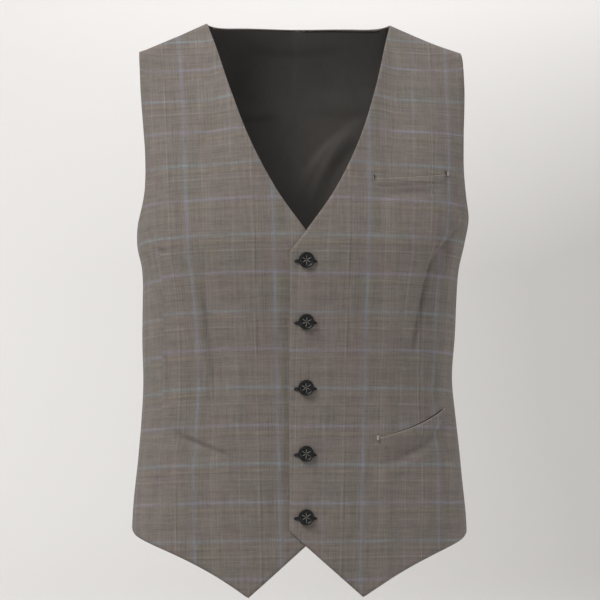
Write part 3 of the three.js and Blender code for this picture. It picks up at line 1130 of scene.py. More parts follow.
def dress(name: str, mesh: Mesh, materials: Sequence[Material], node: str = "") -> Piece:
    """Puts a piece on the garment.

    Args:
        name: The piece's name.
        mesh: Its mesh, already in place.
        materials: Its material slots in order.
        node: The node that it stands for, if any.

    Returns:
        The piece.
    """
    piece = put(name, mesh)
    for material in materials:
        mesh.materials.append(material)
    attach(piece, BODY)
    if node:
        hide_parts(node)
    LOG.info("%s: %d vertices", name, len(mesh.vertices))
    return piece


def mesh_from(bm: Soup, name: str) -> Mesh:
    """A mesh from a bmesh, which is freed.

    Args:
        bm: The bmesh.
        name: The mesh's name.

    Returns:
        The mesh.
    """
    mesh = bpy.data.meshes.new(name)
    bm.to_mesh(mesh)
    bm.free()
    return mesh


def grid_mesh(name: str, columns: int, rows: int) -> tuple[Mesh, Array, Array]:
    """A flat square grid to be moved onto the form.

    Args:
        name: The mesh's name.
        columns: Cells across.
        rows: Cells up.

    Returns:
        The mesh, and each vertex's share across and share up.
    """
    bm = bmesh.new()
    bmesh.ops.create_grid(bm, x_segments=columns, y_segments=rows, size=0.5)
    mesh = mesh_from(bm, name)
    flat = np.empty(3 * len(mesh.vertices))
    mesh.vertices.foreach_get("co", flat)
    flat = flat.reshape(-1, 3)[:, :2]
    shares = (flat - flat.min(axis=0)) / (flat.max(axis=0) - flat.min(axis=0))
    return mesh, shares[:, 0], shares[:, 1]


def move_vertices(mesh: Mesh, points: Array) -> None:
    """Moves a mesh's vertices to points given in millimetres, and shades it smooth.

    Args:
        mesh: The mesh.
        points: A place for each vertex.
    """
    mesh.vertices.foreach_set("co", (points * MM).astype(np.float32).ravel())
    mesh.polygons.foreach_set("use_smooth", np.ones(len(mesh.polygons), bool))
    mesh.update()


def corner_vertices(mesh: Mesh) -> Array:
    """Vertex of every face corner.

    Args:
        mesh: The mesh.

    Returns:
        The vertex's number at each corner, face by face.
    """
    index = np.empty(len(mesh.loops), np.int32)
    mesh.loops.foreach_get("vertex_index", index)
    return index


def write_cloth_map(mesh: Mesh, across: Array, up: Array) -> None:
    """Writes the flat cut's places, in millimetres for each face corner, as the cloth map."""
    layer = mesh.uv_layers.new(name=CLOTH_MAP)
    layer.data.foreach_set("uv", (spots(across, up) * MM).astype(np.float32).ravel())


def face_outward(mesh: Mesh, turn: float = 1.0) -> None:
    """Turns an open shell's faces away from the body's upright axis, or with a turn of -1 to it.

    Args:
        mesh: The shell.
        turn: 1 for outwards, -1 for inwards.
    """
    score = 0.0
    for face in mesh.polygons:
        out = Vector((face.center.x * 0.4, face.center.y - FORM.centre_y * MM, 0.02))
        score += face.area * face.normal.dot(out)
    if score * turn < 0:
        mesh.flip_normals()


def thicken(shell: Piece, thick: float) -> bpy.types.SolidifyModifier:
    """Gives a shell its thickness in millimetres, inwards.

    Args:
        shell: The shell.
        thick: The thickness.

    Returns:
        The live modifier.
    """
    solid = shell.modifiers.new("thickness", "SOLIDIFY")
    solid.thickness = thick * MM
    solid.offset = -1.0
    return solid


@dataclass
class Panel:
    """One cut piece of the garment as a thin shell on the body form."""

    side: Side
    face: Face
    grain: Grain
    folds: tuple[Fold, ...]
    swell: Swell
    tucks: tuple[Tuck, ...]
    centre_gap: float = 0.0
    columns: int = 96
    rows: int = 240
    thick: float = 2.0
    overlap_lift: float = 2.5
    overlap_flat: float = 24.0
    overlap_fade: float = 70.0
    edge_round: float = 0.7
    hem_round: float = 1.5
    edge_width: float = 3.0
    tuck_u: float = 0.6
    tuck_steps: int = 8

    def __post_init__(self) -> None:
        """Lays out the panel's cutting line."""
        self.cut = Cut(self.side, self.face)

    @property
    def name(self) -> str:
        """The panel's name, which is also that of its node."""
        return f"{self.face.value}_{self.side.value}"

    def lift(self, q: Array) -> Array:
        """How far the upper layer of the overlap stands off the body.

        Args:
            q: Girths from the centre line.

        Returns:
            The distance at each girth.
        """
        if self.name != "front_left":
            return 0.0 * q
        fade = smooth_step((np.abs(q) - self.overlap_flat) / (self.overlap_fade - self.overlap_flat))
        return self.overlap_lift * (1 - fade)

    def place(self, q: Array, z: Array, out: float | Array = 0.0) -> Array:
        """Points of the panel, in millimetres, with its folds, moved out by a distance.

        Args:
            q: Girths from the centre line.
            z: Heights.
            out: How far out of the cloth they stand.

        Returns:
            Points, one row each.
        """
        off = self.lift(q) + self.swell.height_at(q, z) + out
        for fold in self.folds:
            off = off - fold.depth_at(q, z)
        spot = (self.side, self.face, q, z)
        return FORM.point(*spot) + FORM.normal(*spot) * off[..., None]

    def follow_tucks(self, u: Array, v: Array) -> tuple[Array, list[float]]:
        """Bends the grid so that a column follows each tuck.

        Args:
            u: Shares across.
            v: Shares up, before the rows are crowded.

        Returns:
            The bent shares across, and the share of the column on each tuck.
        """
        levels = np.unique(np.round(v, 6))
        high = self.cut.row(levels)
        tries = np.linspace(0, 1, self.columns + 1)
        _, tried_z = self.cut.spread(np.full(levels.shape, self.tuck_u), high)
        shares, bends = [0.0], [np.zeros(u.shape)]
        for tuck in self.tucks:
            middle = np.mean([row[1] for row in tuck.run])
            level = float(high[np.argmin(np.abs(tried_z - middle))])
            tried_q, _ = self.cut.spread(tries, np.full(tries.shape, level))
            column = float(tries[np.argmin(np.abs(tried_q - float(tuck.girth(middle))))])
            bent = np.full(levels.shape, column)
            for _ in range(self.tuck_steps):
                q, z = self.cut.spread(bent, high)
                ahead, _ = self.cut.spread(bent + 0.01, high)
                bent = np.clip(bent + (tuck.girth(z) - q) / ((ahead - q) / 0.01), 0.05, 0.95)
            _, z = self.cut.spread(bent, high)
            shares.append(column)
            bends.append(np.interp(v, levels, column + (bent - column) * tuck.near(z)))
        shares.append(1.0)
        bends.append(np.ones(u.shape))
        bent_u = u.copy()
        for i in range(len(shares) - 1):
            inside = (u >= shares[i]) & (u <= shares[i + 1])
            part = part_of(u, shares[i], shares[i + 1])
            bent_u = np.where(inside, bends[i] + (bends[i + 1] - bends[i]) * part, bent_u)
        return bent_u, shares[1:-1]

    def edge_drop(self, q: Array, z: Array, u: Array, row: Array) -> Array:
        """How far the cloth turns in at its edges, so that each edge and seam is rounded.

        Args:
            q: Girths from the centre line.
            z: Heights.
            u: Shares across, before the tucks.
            row: Shares of the height.

        Returns:
            The drop at each place.
        """
        side_q, near_q = self.cut.side_edge(row)[:, 0], self.cut.centre(row)[:, 0]
        above_hem = np.abs(z - self.cut.hem(u)[:, 1])
        under_top = np.abs(self.cut.top(u)[:, 1] - z)
        reach = np.minimum.reduce([np.abs(side_q - q), np.abs(q - near_q), above_hem, under_top])
        edge, hem = (
            most * part_of(1 - off / self.edge_width) ** 2
            for most, off in ((self.edge_round, reach), (self.hem_round, above_hem))
        )
        return np.maximum(edge, hem)

    def flat_place(self, q: Array, z: Array) -> tuple[Array, Array]:
        """Where places of the panel lie on the flat cut, across and up, before its tucks.

        Args:
            q: Girths from the centre line.
            z: Heights.

        Returns:
            Places across and places up, in millimetres.
        """
        grain, sign = self.grain, self.side.sign
        across = sign * q + grain.lean * sign * (grain.level_z - z) - grain.warp_phase
        share = part_of(np.abs(q) / self.cut.seam(z))
        up = FORM.rise_length(self.side, self.face, q, z)
        up = up * np.where(up > 0, grain.upper, grain.lower)
        return across, up + grain.side_drop * share**grain.drop_power - grain.weft_phase

    def write_map(self, mesh: Mesh, q: Array, z: Array, u: Array, columns: Sequence[float]) -> None:
        """Writes where each place of the shell lies on the flat cut.

        Args:
            mesh: The shell's mesh.
            q: Girth of each vertex.
            z: Height of each vertex.
            u: Share across of each vertex.
            columns: Share of the column on each tuck.
        """
        index = corner_vertices(mesh)
        across, up = (flat[index] for flat in self.flat_place(q, z))
        middles = np.repeat(u[index].reshape(-1, 4).mean(axis=1), 4)
        for tuck, column in zip(self.tucks, columns):
            taken = np.where(middles > column, tuck.swell(z[index]), 0.0)
            across = across + self.side.sign * tuck.across * taken
            up = up + tuck.up * taken
        write_cloth_map(mesh, across, up)

    def build(self, finishes: Finishes) -> Piece:
        """Makes the panel's shell.

        Args:
            finishes: The garment's finishes.

        Returns:
            The shell, which stands for the panel's node.
        """
        mesh, u, v = grid_mesh(self.name, self.columns, self.rows)
        bent, columns = self.follow_tucks(u, v)
        row = self.cut.row(v)
        q, z = self.cut.spread(bent, row)
        points = self.place(q, z, -self.edge_drop(q, z, u, row))
        points[:, 0] += self.centre_gap * self.side.sign
        move_vertices(mesh, points)
        self.write_map(mesh, q, z, u, columns)
        face_outward(mesh)
        shell = dress(f"{self.name}_cloth", mesh, [finishes.suiting, finishes.lining], self.name)
        solid = thicken(shell, self.thick)
        solid.material_offset = 1
        solid.material_offset_rim = 0
        return shell


# The folds of each panel: the largest as in the solids, then the finer ones beside them
LEFT_FRONT_FOLDS = (
    Fold((156, -222), (133, -282), (118, -362), 6.0, 8, 36),
    Fold((153, -226), (132, -284), (116, -352), 3.2, 3.5, 9, crisp=True),
    Fold((188, -210), (166, -230), (138, -268), 4.0, 7, 18),
    Fold((186, -212), (166, -231), (141, -262), 2.6, 3, 6, crisp=True),
    Fold((158, -438), (122, -462), (76, -474), 3.4, 10, 13),
    Fold((150, -444), (122, -463), (80, -473), 1.6, 4, 7, crisp=True),
    Fold((126, -376), (134, -398), (144, -420), -1.8, 7, 8),
    Fold((150, -384), (156, -398), (158, -414), 2.6, 9, 8),
    Fold((158, -232), (137, -284), (128, -372), -1.6, 26, 5),
    Fold((84, -182), (118, -181), (152, -176), 2.4, 6, 8),
    Fold((176, -170), (178, -196), (190, -212), 1.6, 6, 12),
    Fold((150, -470), (168, -500), (176, -545), 1.6, 10, 16),
    Fold((20, -262), (40, -300), (34, -340), 0.8, 12, 22),
    Fold((104, -340), (112, -470), (100, -640), 4.2, 24, 92),
    Fold((96, -40), (104, -86), (112, -140), 1.0, 16, 24),
)
RIGHT_FRONT_FOLDS = (
    Fold((19.8, -246), (19.8, -400), (19.8, -540), 1.3, 3.2, 3.2, crisp=True),
    Fold((92, -418), (98, -335), (112, -262), 5.0, 12, 26),
    Fold((99, -408), (103, -340), (112, -280), 1.3, 6, 3.5, crisp=True),
    Fold((158, -436), (122, -452), (76, -470), 2.8, 8, 18),
    Fold((150, -441), (118, -449), (76, -466), 2.2, 3.5, 8, crisp=True),
    Fold((176, -252), (162, -318), (160, -420), -2.0, 6, 14),
    Fold((178, -300), (171, -340), (170, -410), 0.9, 8, 12),
    Fold((158, -270), (152, -340), (156, -430), 1.6, 5, 12),
    Fold((176, -238), (164, -246), (154, -243), 2.4, 4, 6, crisp=True),
    Fold((192, -214), (184, -226), (176, -236), 2.0, 5, 7),
    Fold((150, -468), (170, -505), (176, -545), 1.5, 14, 10),
    Fold((10, -300), (30, -330), (26, -380), 0.8, 20, 12),
    Fold((18, -480), (44, -530), (58, -596), 0.9, 20, 12),
    Fold((84, -60), (100, -110), (108, -160), 1.1, 24, 16),
)
LEFT_BACK_FOLDS = (
    Fold((96, -470), (86, -390), (104, -270), 4.5, 14, 30),
    Fold((92, -452), (87, -390), (100, -290), 1.2, 4, 8, crisp=True),
    Fold((30, -402), (90, -412), (190, -372), 3.0, 14, 20),
    Fold((60, -440), (120, -452), (186, -430), 1.8, 9, 14),
    Fold((150, -232), (120, -262), (90, -340), 2.2, 8, 18),
    Fold((22, -60), (60, -76), (120, -62), 0.9, 15, 24),
    Fold((12, -250), (40, -300), (30, -370), 1.6, 16, 24),
)
RIGHT_BACK_FOLDS = (
    Fold((92, -460), (84, -380), (98, -280), 4.0, 14, 32),
    Fold((88, -446), (85, -380), (94, -296), 1.1, 4, 8, crisp=True),
    Fold((190, -380), (96, -424), (24, -416), 3.0, 20, 14),
    Fold((186, -452), (116, -470), (52, -458), 1.6, 12, 9),
    Fold((158, -236), (124, -268), (96, -330), 2.0, 9, 16),
    Fold((112, -70), (58, -84), (16, -74), 1.5, 16, 9),
    Fold((20, -240), (46, -310), (24, -392), 1.4, 22, 14),
)


@dataclass
class Fronts:
    """The two fronts; the wearer's left lies over the right."""

    dart: Tuck = Tuck(((110.0, -285.0), (107.0, -360.0), (101.0, -440.0)), 8.0)
    flank: Tuck = Tuck(((166.0, -262.0), (161.0, -330.0), (163.0, -410.0)), 4.0, 5.0)
    left_grain: Grain = Grain(68.2, weft_phase=-31.8)
    right_grain: Grain = Grain(-36.3, side_drop=15.0, drop_power=2.4, upper=1.02)

    def panels(self) -> dict[Side, Panel]:
        """The two panels, by side."""
        rows = (
            (Side.LEFT, self.left_grain, LEFT_FRONT_FOLDS, 0.4, (self.dart,)),
            (Side.RIGHT, self.right_grain, RIGHT_FRONT_FOLDS, 1.7, (self.dart, self.flank)),
        )
        return {
            side: Panel(side, Face.FRONT, grain, folds, Swell(0.28, seed), tucks)
            for side, grain, folds, seed, tucks in rows
        }


@dataclass
class Backs:
    """The two back halves, seamed down the centre."""

    gap: float = 0.04
    grain: Grain = Grain(20.0)
    dart: Tuck = Tuck(((98.0, -270.0), (88.0, -370.0), (94.0, -460.0)), 9.0)

    def panels(self) -> dict[Side, Panel]:
        """The two panels, by side."""
        rows = ((Side.LEFT, LEFT_BACK_FOLDS, 2.9), (Side.RIGHT, RIGHT_BACK_FOLDS, 4.3))
        return {
            side: Panel(side, Face.BACK, self.grain, folds, Swell(0.35, seed), (self.dart,), self.gap)
            for side, folds, seed in rows
        }


@dataclass
class Lining:
    """The back lining, one piece from side seam to side seam inside both back halves."""

    thick: float = 1.0
    clear: float = 2.4
    neck_short: float = 1.5
    hem_short: float = 12.0
    columns: int = 160
    rows: int = 200
    folds: tuple[Fold, ...] = (
        Fold((92, -82), (18, -124), (7, -190), 2.2, 12, 22),
        Fold((72, -98), (32, -134), (17, -204), 1.8, 9, 14),
        Fold((-96, -60), (-40, -96), (-28, -170), 0.7, 22, 30),
        Fold((-60, 6), (0, -2), (60, 6), 1.2, 14, 22),
    )

    def build(self, finishes: Finishes, backs: dict[Side, Panel]) -> Piece:
        """Makes the lining's shell.

        Args:
            finishes: The garment's finishes.
            backs: The back panels that it lies in.

        Returns:
            The shell, which stands for the lining's node.
        """
        mesh, across, v = grid_mesh("back_lining", self.columns, self.rows)
        signed = 2 * across - 1
        points, flat = np.zeros((len(signed), 3)), np.zeros((len(signed), 2))
        for side, panel in backs.items():
            mine = signed * side.sign >= 0
            u = np.abs(signed[mine])
            q, z = panel.cut.spread(u, panel.cut.row(v[mine]))
            hem = panel.cut.hem(u)[:, 1] + self.hem_short
            neck = panel.cut.top(u)[:, 1] - np.where(u < panel.cut.neck_u, self.neck_short, 0.0)
            z = np.clip(z, hem, neck)
            bulge = sum(fold.depth_at(side.sign * q, z) for fold in self.folds)
            points[mine] = panel.place(q, z, -self.clear - self.thick - bulge)
            flat[mine] = spots(side.sign * q, FORM.rise_length(side, Face.BACK, q, z))
        points[np.abs(signed) < 1e-6, 0] = 0.0
        move_vertices(mesh, points)
        write_cloth_map(mesh, *flat[corner_vertices(mesh)].T)
        face_outward(mesh, -1.0)
        shell = dress("back_lining_satin", mesh, [finishes.lining], "back_lining")
        thicken(shell, self.thick)
        return shell


class WeltSize(NamedTuple):
    """A welt's place on the left front: its top edge's ends, sag and depth."""

    node: str
    inner: Pair
    outer: Pair
    sag: float
    deep: float


WELT_SIZES = (
    WeltSize("breast_welt", (73, -165), (160, -158), 0.5, 11),
    WeltSize("lower_welt", (79, -445), (168, -415.5), 3.4, 21),
)


@dataclass
class Welt:
    """A pocket welt with a folded top edge, lying on the left front."""

    size: WeltSize
    front: Panel
    gap: float = 0.3
    thick: float = 1.4
    sunk: float = -0.3
    lip: float = 1.4
    foot_share: float = 0.65
    end_run: float = 3.0
    end_spread: float = 0.9
    cloth: float = 0.9
    mismatch: float = 1.5
    columns: int = 70
    rows: int = 24

    def path(self, t: Array, down: Array) -> tuple[Array, Array]:
        """Girth and height at a share along the welt and a depth below its top edge.

        Args:
            t: Shares along the welt.
            down: Depths.

        Returns:
            The girths and the heights.
        """
        (inner_q, inner_z), (outer_q, outer_z) = self.size.inner, self.size.outer
        top = mix(inner_z, outer_z, t) - self.size.sag * 4 * t * (1 - t)
        return mix(inner_q, outer_q, t), top - down

    def build(self, finishes: Finishes) -> Piece:
        """Makes the welt's shell: raised along its folded top, sunk into the front elsewhere.

        Args:
            finishes: The garment's finishes.

        Returns:
            The shell, which stands for the welt's node.
        """
        node, deep = self.size.node, self.size.deep
        mesh, t, share = grid_mesh(node, self.columns, self.rows)
        down = deep * (1 - share)
        length = self.size.outer[0] - self.size.inner[0]
        lip = np.sqrt(1 - part_of(1 - down / self.lip) ** 2)
        foot = smooth_step((deep - down) / (self.foot_share * deep))
        ends = smooth_step(np.minimum(t, 1 - t) * length / (self.end_run + self.end_spread * down))
        raised = (self.gap + self.thick - self.sunk) * lip * foot * ends
        q, z = self.path(t, down)
        move_vertices(mesh, self.front.place(q, z, self.sunk + raised))
        across, up = (flat[corner_vertices(mesh)] for flat in self.front.flat_place(q, z))
        write_cloth_map(mesh, across + self.mismatch, up)
        face_outward(mesh)
        shell = dress(f"{node}_cloth", mesh, [finishes.suiting], node)
        thicken(shell, self.cloth)
        return shell


@dataclass
class Button:
    """A dished button with a raised rim and six fine ribs."""

    radius: float = 8.5
    thick: float = 3.6
    rim: float = 1.7
    dish: float = 1.3
    foot: float = 1.2
    rib: float = 0.42
    steps: int = 72
    ribs: int = 6

    def profile(self) -> list[Pair]:
        """Half section of the button, from the middle of its back round to the middle of its dish."""
        r, t, rim, dish = self.radius, self.thick, self.rim, self.dish
        return [
            (0, 0), (r - self.foot, 0), (r - self.foot * 0.4, t * 0.14), (r, t * 0.45),
            (r - 0.1, t * 0.7), (r - 0.5, t * 0.92), (r - rim * 0.55, t), (r - rim * 0.9, t * 0.93),
            (r - rim - 0.3, t * 0.78), (r - rim - dish, t - dish * 0.95), (r * 0.4, t - dish * 1.1),
            (0, t - dish * 1.12),
        ]

    def build(self, name: str, at: Array, normal: Array, turn: float, finishes: Finishes) -> Piece:
        """Makes one button in place.

        Args:
            name: The button's node.
            at: The middle of its back, in millimetres.
            normal: The direction that it faces.
            turn: How far its ribs are turned, in degrees.
            finishes: The garment's finishes.

        Returns:
            The button, which stands for its node.
        """
        bm = bmesh.new()
        verts = [bm.verts.new((x, 0, z)) for x, z in self.profile()]
        edges = [bm.edges.new(pair) for pair in zip(verts, verts[1:])]
        bmesh.ops.spin(
            bm, geom=verts + edges, cent=(0, 0, 0), axis=(0, 0, 1), angle=2 * math.pi,
            steps=self.steps, use_merge=True, use_duplicate=False,
        )
        bmesh.ops.remove_doubles(bm, verts=bm.verts, dist=0.001)
        bmesh.ops.recalc_face_normals(bm, faces=bm.faces)
        body_faces = set(bm.faces)
        for i in range(self.ribs):
            reach = (self.radius - self.rim - self.dish) * (1.05 - 0.18 * (i % 2))
            lean = Matrix.Rotation(math.radians(turn + 360 / self.ribs * i), 4, "Z")
            lean = lean @ Matrix.Translation((reach * 0.56, 0, self.thick - self.dish * 1.02))
            shape = lean @ Matrix.Diagonal((reach * 0.5, self.rib, self.rib, 1.0))
            bmesh.ops.create_uvsphere(bm, u_segments=14, v_segments=8, radius=1.0, matrix=shape)
        for face in bm.faces:
            face.smooth = True
            face.material_index = 0 if face in body_faces else 1
        facing = Vector(normal).to_track_quat("Z", "X").to_matrix().to_4x4()
        place = Matrix.Translation(Vector(at) * MM) @ facing @ Matrix.Scale(MM, 4)
        bmesh.ops.transform(bm, matrix=place, verts=bm.verts)
        return dress(f"{name}_polished", mesh_from(bm, name), [finishes.horn, finishes.ribs], name)


@dataclass
class ButtonRow:
    """The five buttons down the front, each turned a little differently."""

    turns: tuple[float, ...] = (60, 54, 66, 58, 63)
    gap: float = 0.3

    def build(self, front: Panel, finishes: Finishes) -> list[Piece]:
        """Makes the buttons on the left front.

        Args:
            front: The panel that they are sewn on.
            finishes: The garment's finishes.

        Returns:
            The buttons from the top down.
        """
        made = []
        for i, (height, turn) in enumerate(zip(BUTTON_HEIGHTS, self.turns), 1):
            spot = (Side.LEFT, Face.FRONT, np.zeros(1), np.array([height]))
            normal = FORM.normal(*spot)[0]
            normal[0] = 0
            at = FORM.point(*spot)[0] + normal * (front.overlap_lift + self.gap)
            at[0] = 0
            made.append(Button().build(f"button_{i}", at, normal, turn, finishes))
        return made


def tube_mesh(bm: Soup, path: Array, radii: Array, closed: bool, sides: int = 8) -> None:
    """Adds a closed or capped tube of thread to a bmesh.

    Args:
        bm: What it is added to.
        path: Points along its middle, in millimetres.
        radii: Its radius at each point.
        closed: True for a loop, which joins its own start.
        sides: Faces round it.
    """
    ahead = np.roll(path, -1, axis=0) - path
    behind = np.roll(ahead, 1, axis=0)
    if not closed:
        ahead[-1], behind[0] = behind[-1], ahead[0]
    run = ahead + behind
    run /= np.linalg.norm(run, axis=1, keepdims=True)
    wide = np.cross(run, (0.0, -1.0, 0.0))
    wide /= np.linalg.norm(wide, axis=1, keepdims=True)
    stands = np.zeros((len(path), 4, 4))
    stands[:, :3] = np.stack([wide, np.cross(wide, run), run, path], axis=2)
    stands[:, 3, 3] = 1.0
    rings = []
    for i, (stand, radius) in enumerate(zip(stands, radii)):
        ends = not closed and i in (0, len(path) - 1)
        ring = bmesh.ops.create_circle(
            bm, cap_ends=ends, segments=sides, radius=float(radius), matrix=Matrix(stand.tolist()),
        )
        rings.append(list(ring["verts"]))
    if closed:
        rings.append(rings[0])
    for one, two in zip(rings, rings[1:]):
        for k in range(sides):
            after = (k + 1) % sides
            bm.faces.new((one[k], one[after], two[after], two[k]))


def finish_thread(bm: Soup, name: str, finish: Material) -> Piece:
    """Turns thread in millimetres into a finished piece; the bmesh is freed.

    Args:
        bm: The thread; it is freed.
        name: The piece's name.
        finish: Its finish.

    Returns:
        The piece.
    """
    bmesh.ops.recalc_face_normals(bm, faces=bm.faces)
    for face in bm.faces:
        face.smooth = True
    bmesh.ops.scale(bm, vec=(MM, MM, MM), verts=bm.verts)
    return dress(name, mesh_from(bm, name), [finish])


@dataclass
class Buttonholes:
    """Corded buttonholes under the buttons, whose ends show on both sides of each."""

    long: float = 23.0
    high: float = 2.8
    drop: float = 1.4
    off_centre: float = -0.8
    cord: float = 1.05
    raised: float = 0.45
    squareness: float = 0.55
    thinnest: float = 0.8
    wrap: float = 0.25
    stitches: int = 46

    def build(self, front: Panel, finishes: Finishes) -> Piece:
        """Makes all the buttonholes as one piece of thread.

        Args:
            front: The panel that they are sewn on.
            finishes: The garment's finishes.

        Returns:
            The piece.
        """
        bm = bmesh.new()
        turns = np.linspace(0, 2 * math.pi, 4 * self.stitches, endpoint=False)
        across = np.sign(np.cos(turns)) * np.abs(np.cos(turns)) ** self.squareness
        wraps = 0.5 + 0.5 * np.cos(np.arange(len(turns)) * QUARTER)
        for height in BUTTON_HEIGHTS:
            q = self.off_centre + across * self.long / 2
            z = height - self.drop + np.sin(turns) * self.high / 2
            path = front.place(q, z, self.cord * self.raised)
            tube_mesh(bm, path, self.cord * (self.thinnest + self.wrap * wraps), closed=True)
        return finish_thread(bm, "buttonhole_stitching", finishes.twist)


@dataclass
class WeltTacksAndPaintedLight:
    """Pale tubes that paint the highlight along the welts' folded top edges, dark tubes that paint the shadow
    in the pocket mouths above them, and the tacks at their ends.
    """

    thread: float = 0.3
    strands: int = 8
    knots: int = 7
    # The pale tubes that paint the highlight on the folded top edges: radius, depth below the edge, standoff.
    edge: float = 0.38
    highlight_down: float = 0.15
    highlight_out: float = 0.55
    steps: int = 60
    # The dark tubes that paint the shadow in the pocket mouths: end, rise, standoff, least radius.
    shadow_end: float = 0.985
    shadow_up: float = 0.35
    shadow_out: float = 0.28
    shadow_least: float = 0.1

    def bar(self, bm: Soup, front: Panel, middle: Array, wide: float, tall: float) -> None:
        """Adds one tack of thread.

        Args:
            bm: What it is added to.
            front: The panel that it is sewn on.
            middle: Girth and height of its middle.
            wide: Its width in millimetres.
            tall: Its height in millimetres.
        """
        girths = middle[0] + wide * np.linspace(-0.5, 0.5, self.knots)
        arch = 0.6 * np.sin(np.linspace(0.15, math.pi - 0.15, self.knots)) + 1.0
        for i in range(self.strands):
            level = middle[1] + tall * (i / (self.strands - 1) - 0.5)
            path = front.place(girths, np.full(self.knots, level), arch)
            tube_mesh(bm, path, np.full(self.knots, self.thread), closed=False, sides=6)

    def edges(self, welts: Sequence[Welt], finishes: Finishes) -> Piece:
        """Makes the pale tubes that paint the highlight along the welts' folded top edges.

        Args:
            welts: The breast welt and the lower welt.
            finishes: The garment's finishes.

        Returns:
            The piece.
        """
        bm = bmesh.new()
        t = np.linspace(0.004, 0.996, self.steps)
        wave = 0.06 * np.sin(t * 190.0) + 0.04 * np.sin(t * 71.0)
        # Painted highlight: a pale tube along each welt's folded top edge.
        for welt in welts:
            q, z = welt.path(t, self.highlight_down)
            path = welt.front.place(q, z, welt.gap + self.highlight_out)
            tube_mesh(bm, path, self.edge + wave, closed=False)
        return finish_thread(bm, "welt_edge_highlights", finishes.edge)

    def painted_mouth_shadows(self, welts: Sequence[Welt], finishes: Finishes) -> Piece:
        """Makes the dark tubes that paint the shadow in the pocket mouths above the welts' folded top edges.

        Args:
            welts: The breast welt and the lower welt.
            finishes: The garment's finishes.

        Returns:
            The piece.
        """
        bm = bmesh.new()
        # Painted shadow: a dark tube in each pocket mouth, widest towards the outer end where the pocket
        # gapes.
        for welt, first, most in zip(welts, (0.0, 0.2), (0.25, 1.05)):
            t = np.linspace(first, self.shadow_end, self.steps)
            part = part_of(t, first, self.shadow_end)
            radii = self.shadow_least + most * part**1.3 * smooth_step((1 - part) / 0.12)
            q, z = welt.path(t, -self.shadow_up - radii)
            tube_mesh(bm, welt.front.place(q, z, self.shadow_out - radii), radii, closed=False)
        return finish_thread(bm, "pocket_mouth_shadows", finishes.mouth_shadow)

    def tacks(self, welts: Sequence[Welt], finishes: Finishes) -> list[Piece]:
        """Makes the pale and the dark tacks.

        Args:
            welts: The breast welt and the lower welt.
            finishes: The garment's finishes.

        Returns:
            The pale piece and the dark piece.
        """
        breast, lower = (welt.size for welt in welts)
        pale = ((lower.inner, (-0.6, 0.2), 2.6, 4.4), (breast.outer, (0.2, 0.6), 2.2, 4.0))
        dark = ((breast.inner, (1.4, 2.4), 0.7, 4.0), (breast.outer, (-2.2, 1.6), 0.7, 4.4))
        made = []
        for name, bars, finish in (("welt_tacks", pale, finishes.tack), ("welt_ticks", dark, finishes.twist)):
            bm = bmesh.new()
            for corner, shift, wide, tall in bars:
                self.bar(bm, welts[0].front, np.add(corner, shift), wide, tall)
            made.append(finish_thread(bm, name, finish))
        return made

    def build(self, welts: Sequence[Welt], finishes: Finishes) -> list[Piece]:
        """Makes the welts' tacks, and the tubes that paint the highlight on their folded top edges and the
        shadow in their mouths.
        """
        return [self.edges(welts, finishes), self.painted_mouth_shadows(welts, finishes), *self.tacks(welts, finishes)]


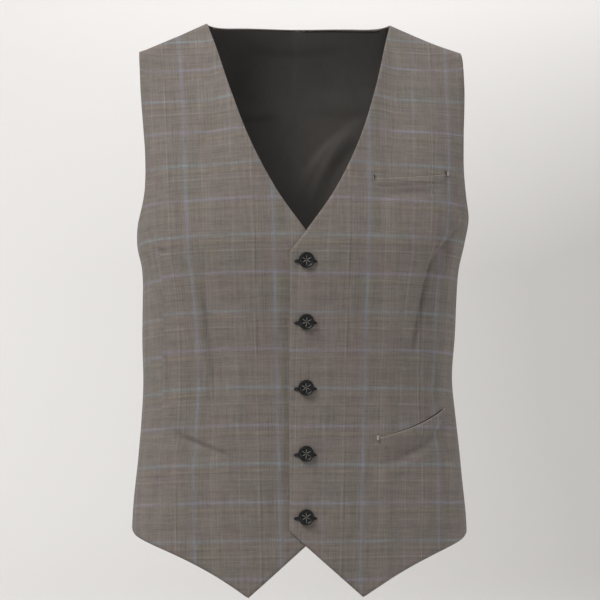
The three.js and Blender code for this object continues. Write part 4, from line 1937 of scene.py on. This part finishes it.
@dataclass
class Studio:
    """The camera, the lights and the pale paper behind and below the garment."""

    distance: float = 2.2
    azimuth: float = -4.0
    aim_z: float = -0.296
    centre_y: float = -0.012
    shift_right: float = 0.00113
    focal: float = 116.8
    floor_z: float = -0.9
    near_y: float = -3.4
    wall_y: float = 3.2
    paper_side: float = 9.0
    paper_bend: float = 1.2
    room_light: float = 0.32

    def aimed(self, name: str, data: bpy.types.ID, at: Vector, aim: Vector) -> Piece:
        """Puts a camera or light at a place, pointing at another.

        Args:
            name: The object's name.
            data: The camera or light.
            at: Where it stands.
            aim: What it points at.

        Returns:
            The object.
        """
        obj = put(name, data)
        obj.location = at
        obj.rotation_mode = "QUATERNION"
        obj.rotation_quaternion = (aim - at).to_track_quat("-Z", "Y")
        return obj

    def camera(self) -> None:
        """Places the camera where the photograph was taken from."""
        data = bpy.data.cameras.new("camera")
        data.lens, data.sensor_width = self.focal, 36.0
        data.clip_start, data.clip_end = 0.05, 40.0
        angle = math.radians(self.azimuth)
        back = Vector((math.sin(angle), -math.cos(angle), 0))
        right = Vector((math.cos(angle), math.sin(angle), 0))
        aim = Vector((0, self.centre_y, self.aim_z)) + right * self.shift_right
        bpy.context.scene.camera = self.aimed("camera", data, aim + back * self.distance, aim)

    def lamps(self) -> None:
        """Adds three soft square lights, on the garment from both sides and on the wall."""
        middle, wall = (0, 0, self.aim_z), (-0.1, self.wall_y, 0.3)
        for name, at, aim, size, power, tint in (
            ("key", (-1.45, -1.35, 1.85), middle, 1.1, 66.0, (1.0, 0.995, 0.985)),
            ("fill", (2.6, -0.6, 0.2), middle, 1.6, 24.0, (0.98, 0.985, 1.0)),
            ("wall wash", (0.5, 1.0, 2.0), wall, 1.4, 40.0, (1.0, 0.992, 0.98)),
        ):
            data = bpy.data.lights.new(name, "AREA")
            data.shape, data.size, data.energy, data.color = "SQUARE", size, power, tint
            self.aimed(name, data, Vector(at), Vector(aim))

    def paper(self) -> None:
        """Makes the floor and wall as one sheet with a round bend between them."""
        mesh, t, share = grid_mesh("paper", 4, 60)
        run, bend = self.paper_side * share, self.paper_bend
        flat = self.wall_y - self.near_y - bend
        curved = flat + bend * QUARTER
        turn = part_of(run, flat, curved) * QUARTER
        y = self.near_y + np.minimum(run, flat) + bend * np.sin(turn)
        z = self.floor_z + bend * (1 - np.cos(turn)) + np.clip(run - curved, 0, None)
        move_vertices(mesh, np.stack([(t - 0.5) * self.paper_side, y, z], axis=-1) / MM)
        mesh.materials.append(Backdrop().build())
        put("paper", mesh)

    def build(self) -> None:
        """Makes the whole studio, with an even pale light from all round."""
        self.camera()
        self.paper()
        world = bpy.data.worlds.new("soft room")
        world.use_nodes = True
        background = world.node_tree.nodes["Background"]
        background.inputs[0].default_value = (1.0, 1.0, 1.0, 1.0)
        background.inputs[1].default_value = self.room_light
        bpy.context.scene.world = world
        self.lamps()
        bpy.context.scene.view_settings.view_transform = "Standard"


def declare_sheet(shell: Piece) -> None:
    """Reads the flat cut of a shell from its cloth map; nothing is done with it.

    Args:
        shell: The shell, before its thickness.
    """
    places = np.empty(2 * len(shell.data.loops))
    shell.data.uv_layers[CLOTH_MAP].data.foreach_get("uv", places)


def main() -> None:
    """Builds the studio and the garment, and reports each piece."""
    logging.basicConfig(level=logging.INFO, format="%(name)s: %(message)s")
    Studio().build()
    finishes = Finishes()
    fronts, backs = Fronts().panels(), Backs().panels()
    shells = {panel.name: panel.build(finishes) for panel in (*fronts.values(), *backs.values())}
    lining = Lining().build(finishes, backs)
    left = fronts[Side.LEFT]
    welts = [Welt(size, left) for size in WELT_SIZES]
    strips = [welt.build(finishes) for welt in welts]
    buttons = ButtonRow().build(left, finishes)
    sewing_and_painted_light = [Buttonholes().build(left, finishes), *WeltTacksAndPaintedLight().build(welts, finishes)]
    declare_sheet(shells["back_left"])
    declare_sheet(shells["back_right"])
    declare_sheet(shells["front_right"])
    declare_sheet(shells["front_left"])
    declare_sheet(lining)


if __name__ == "__main__":
    main()
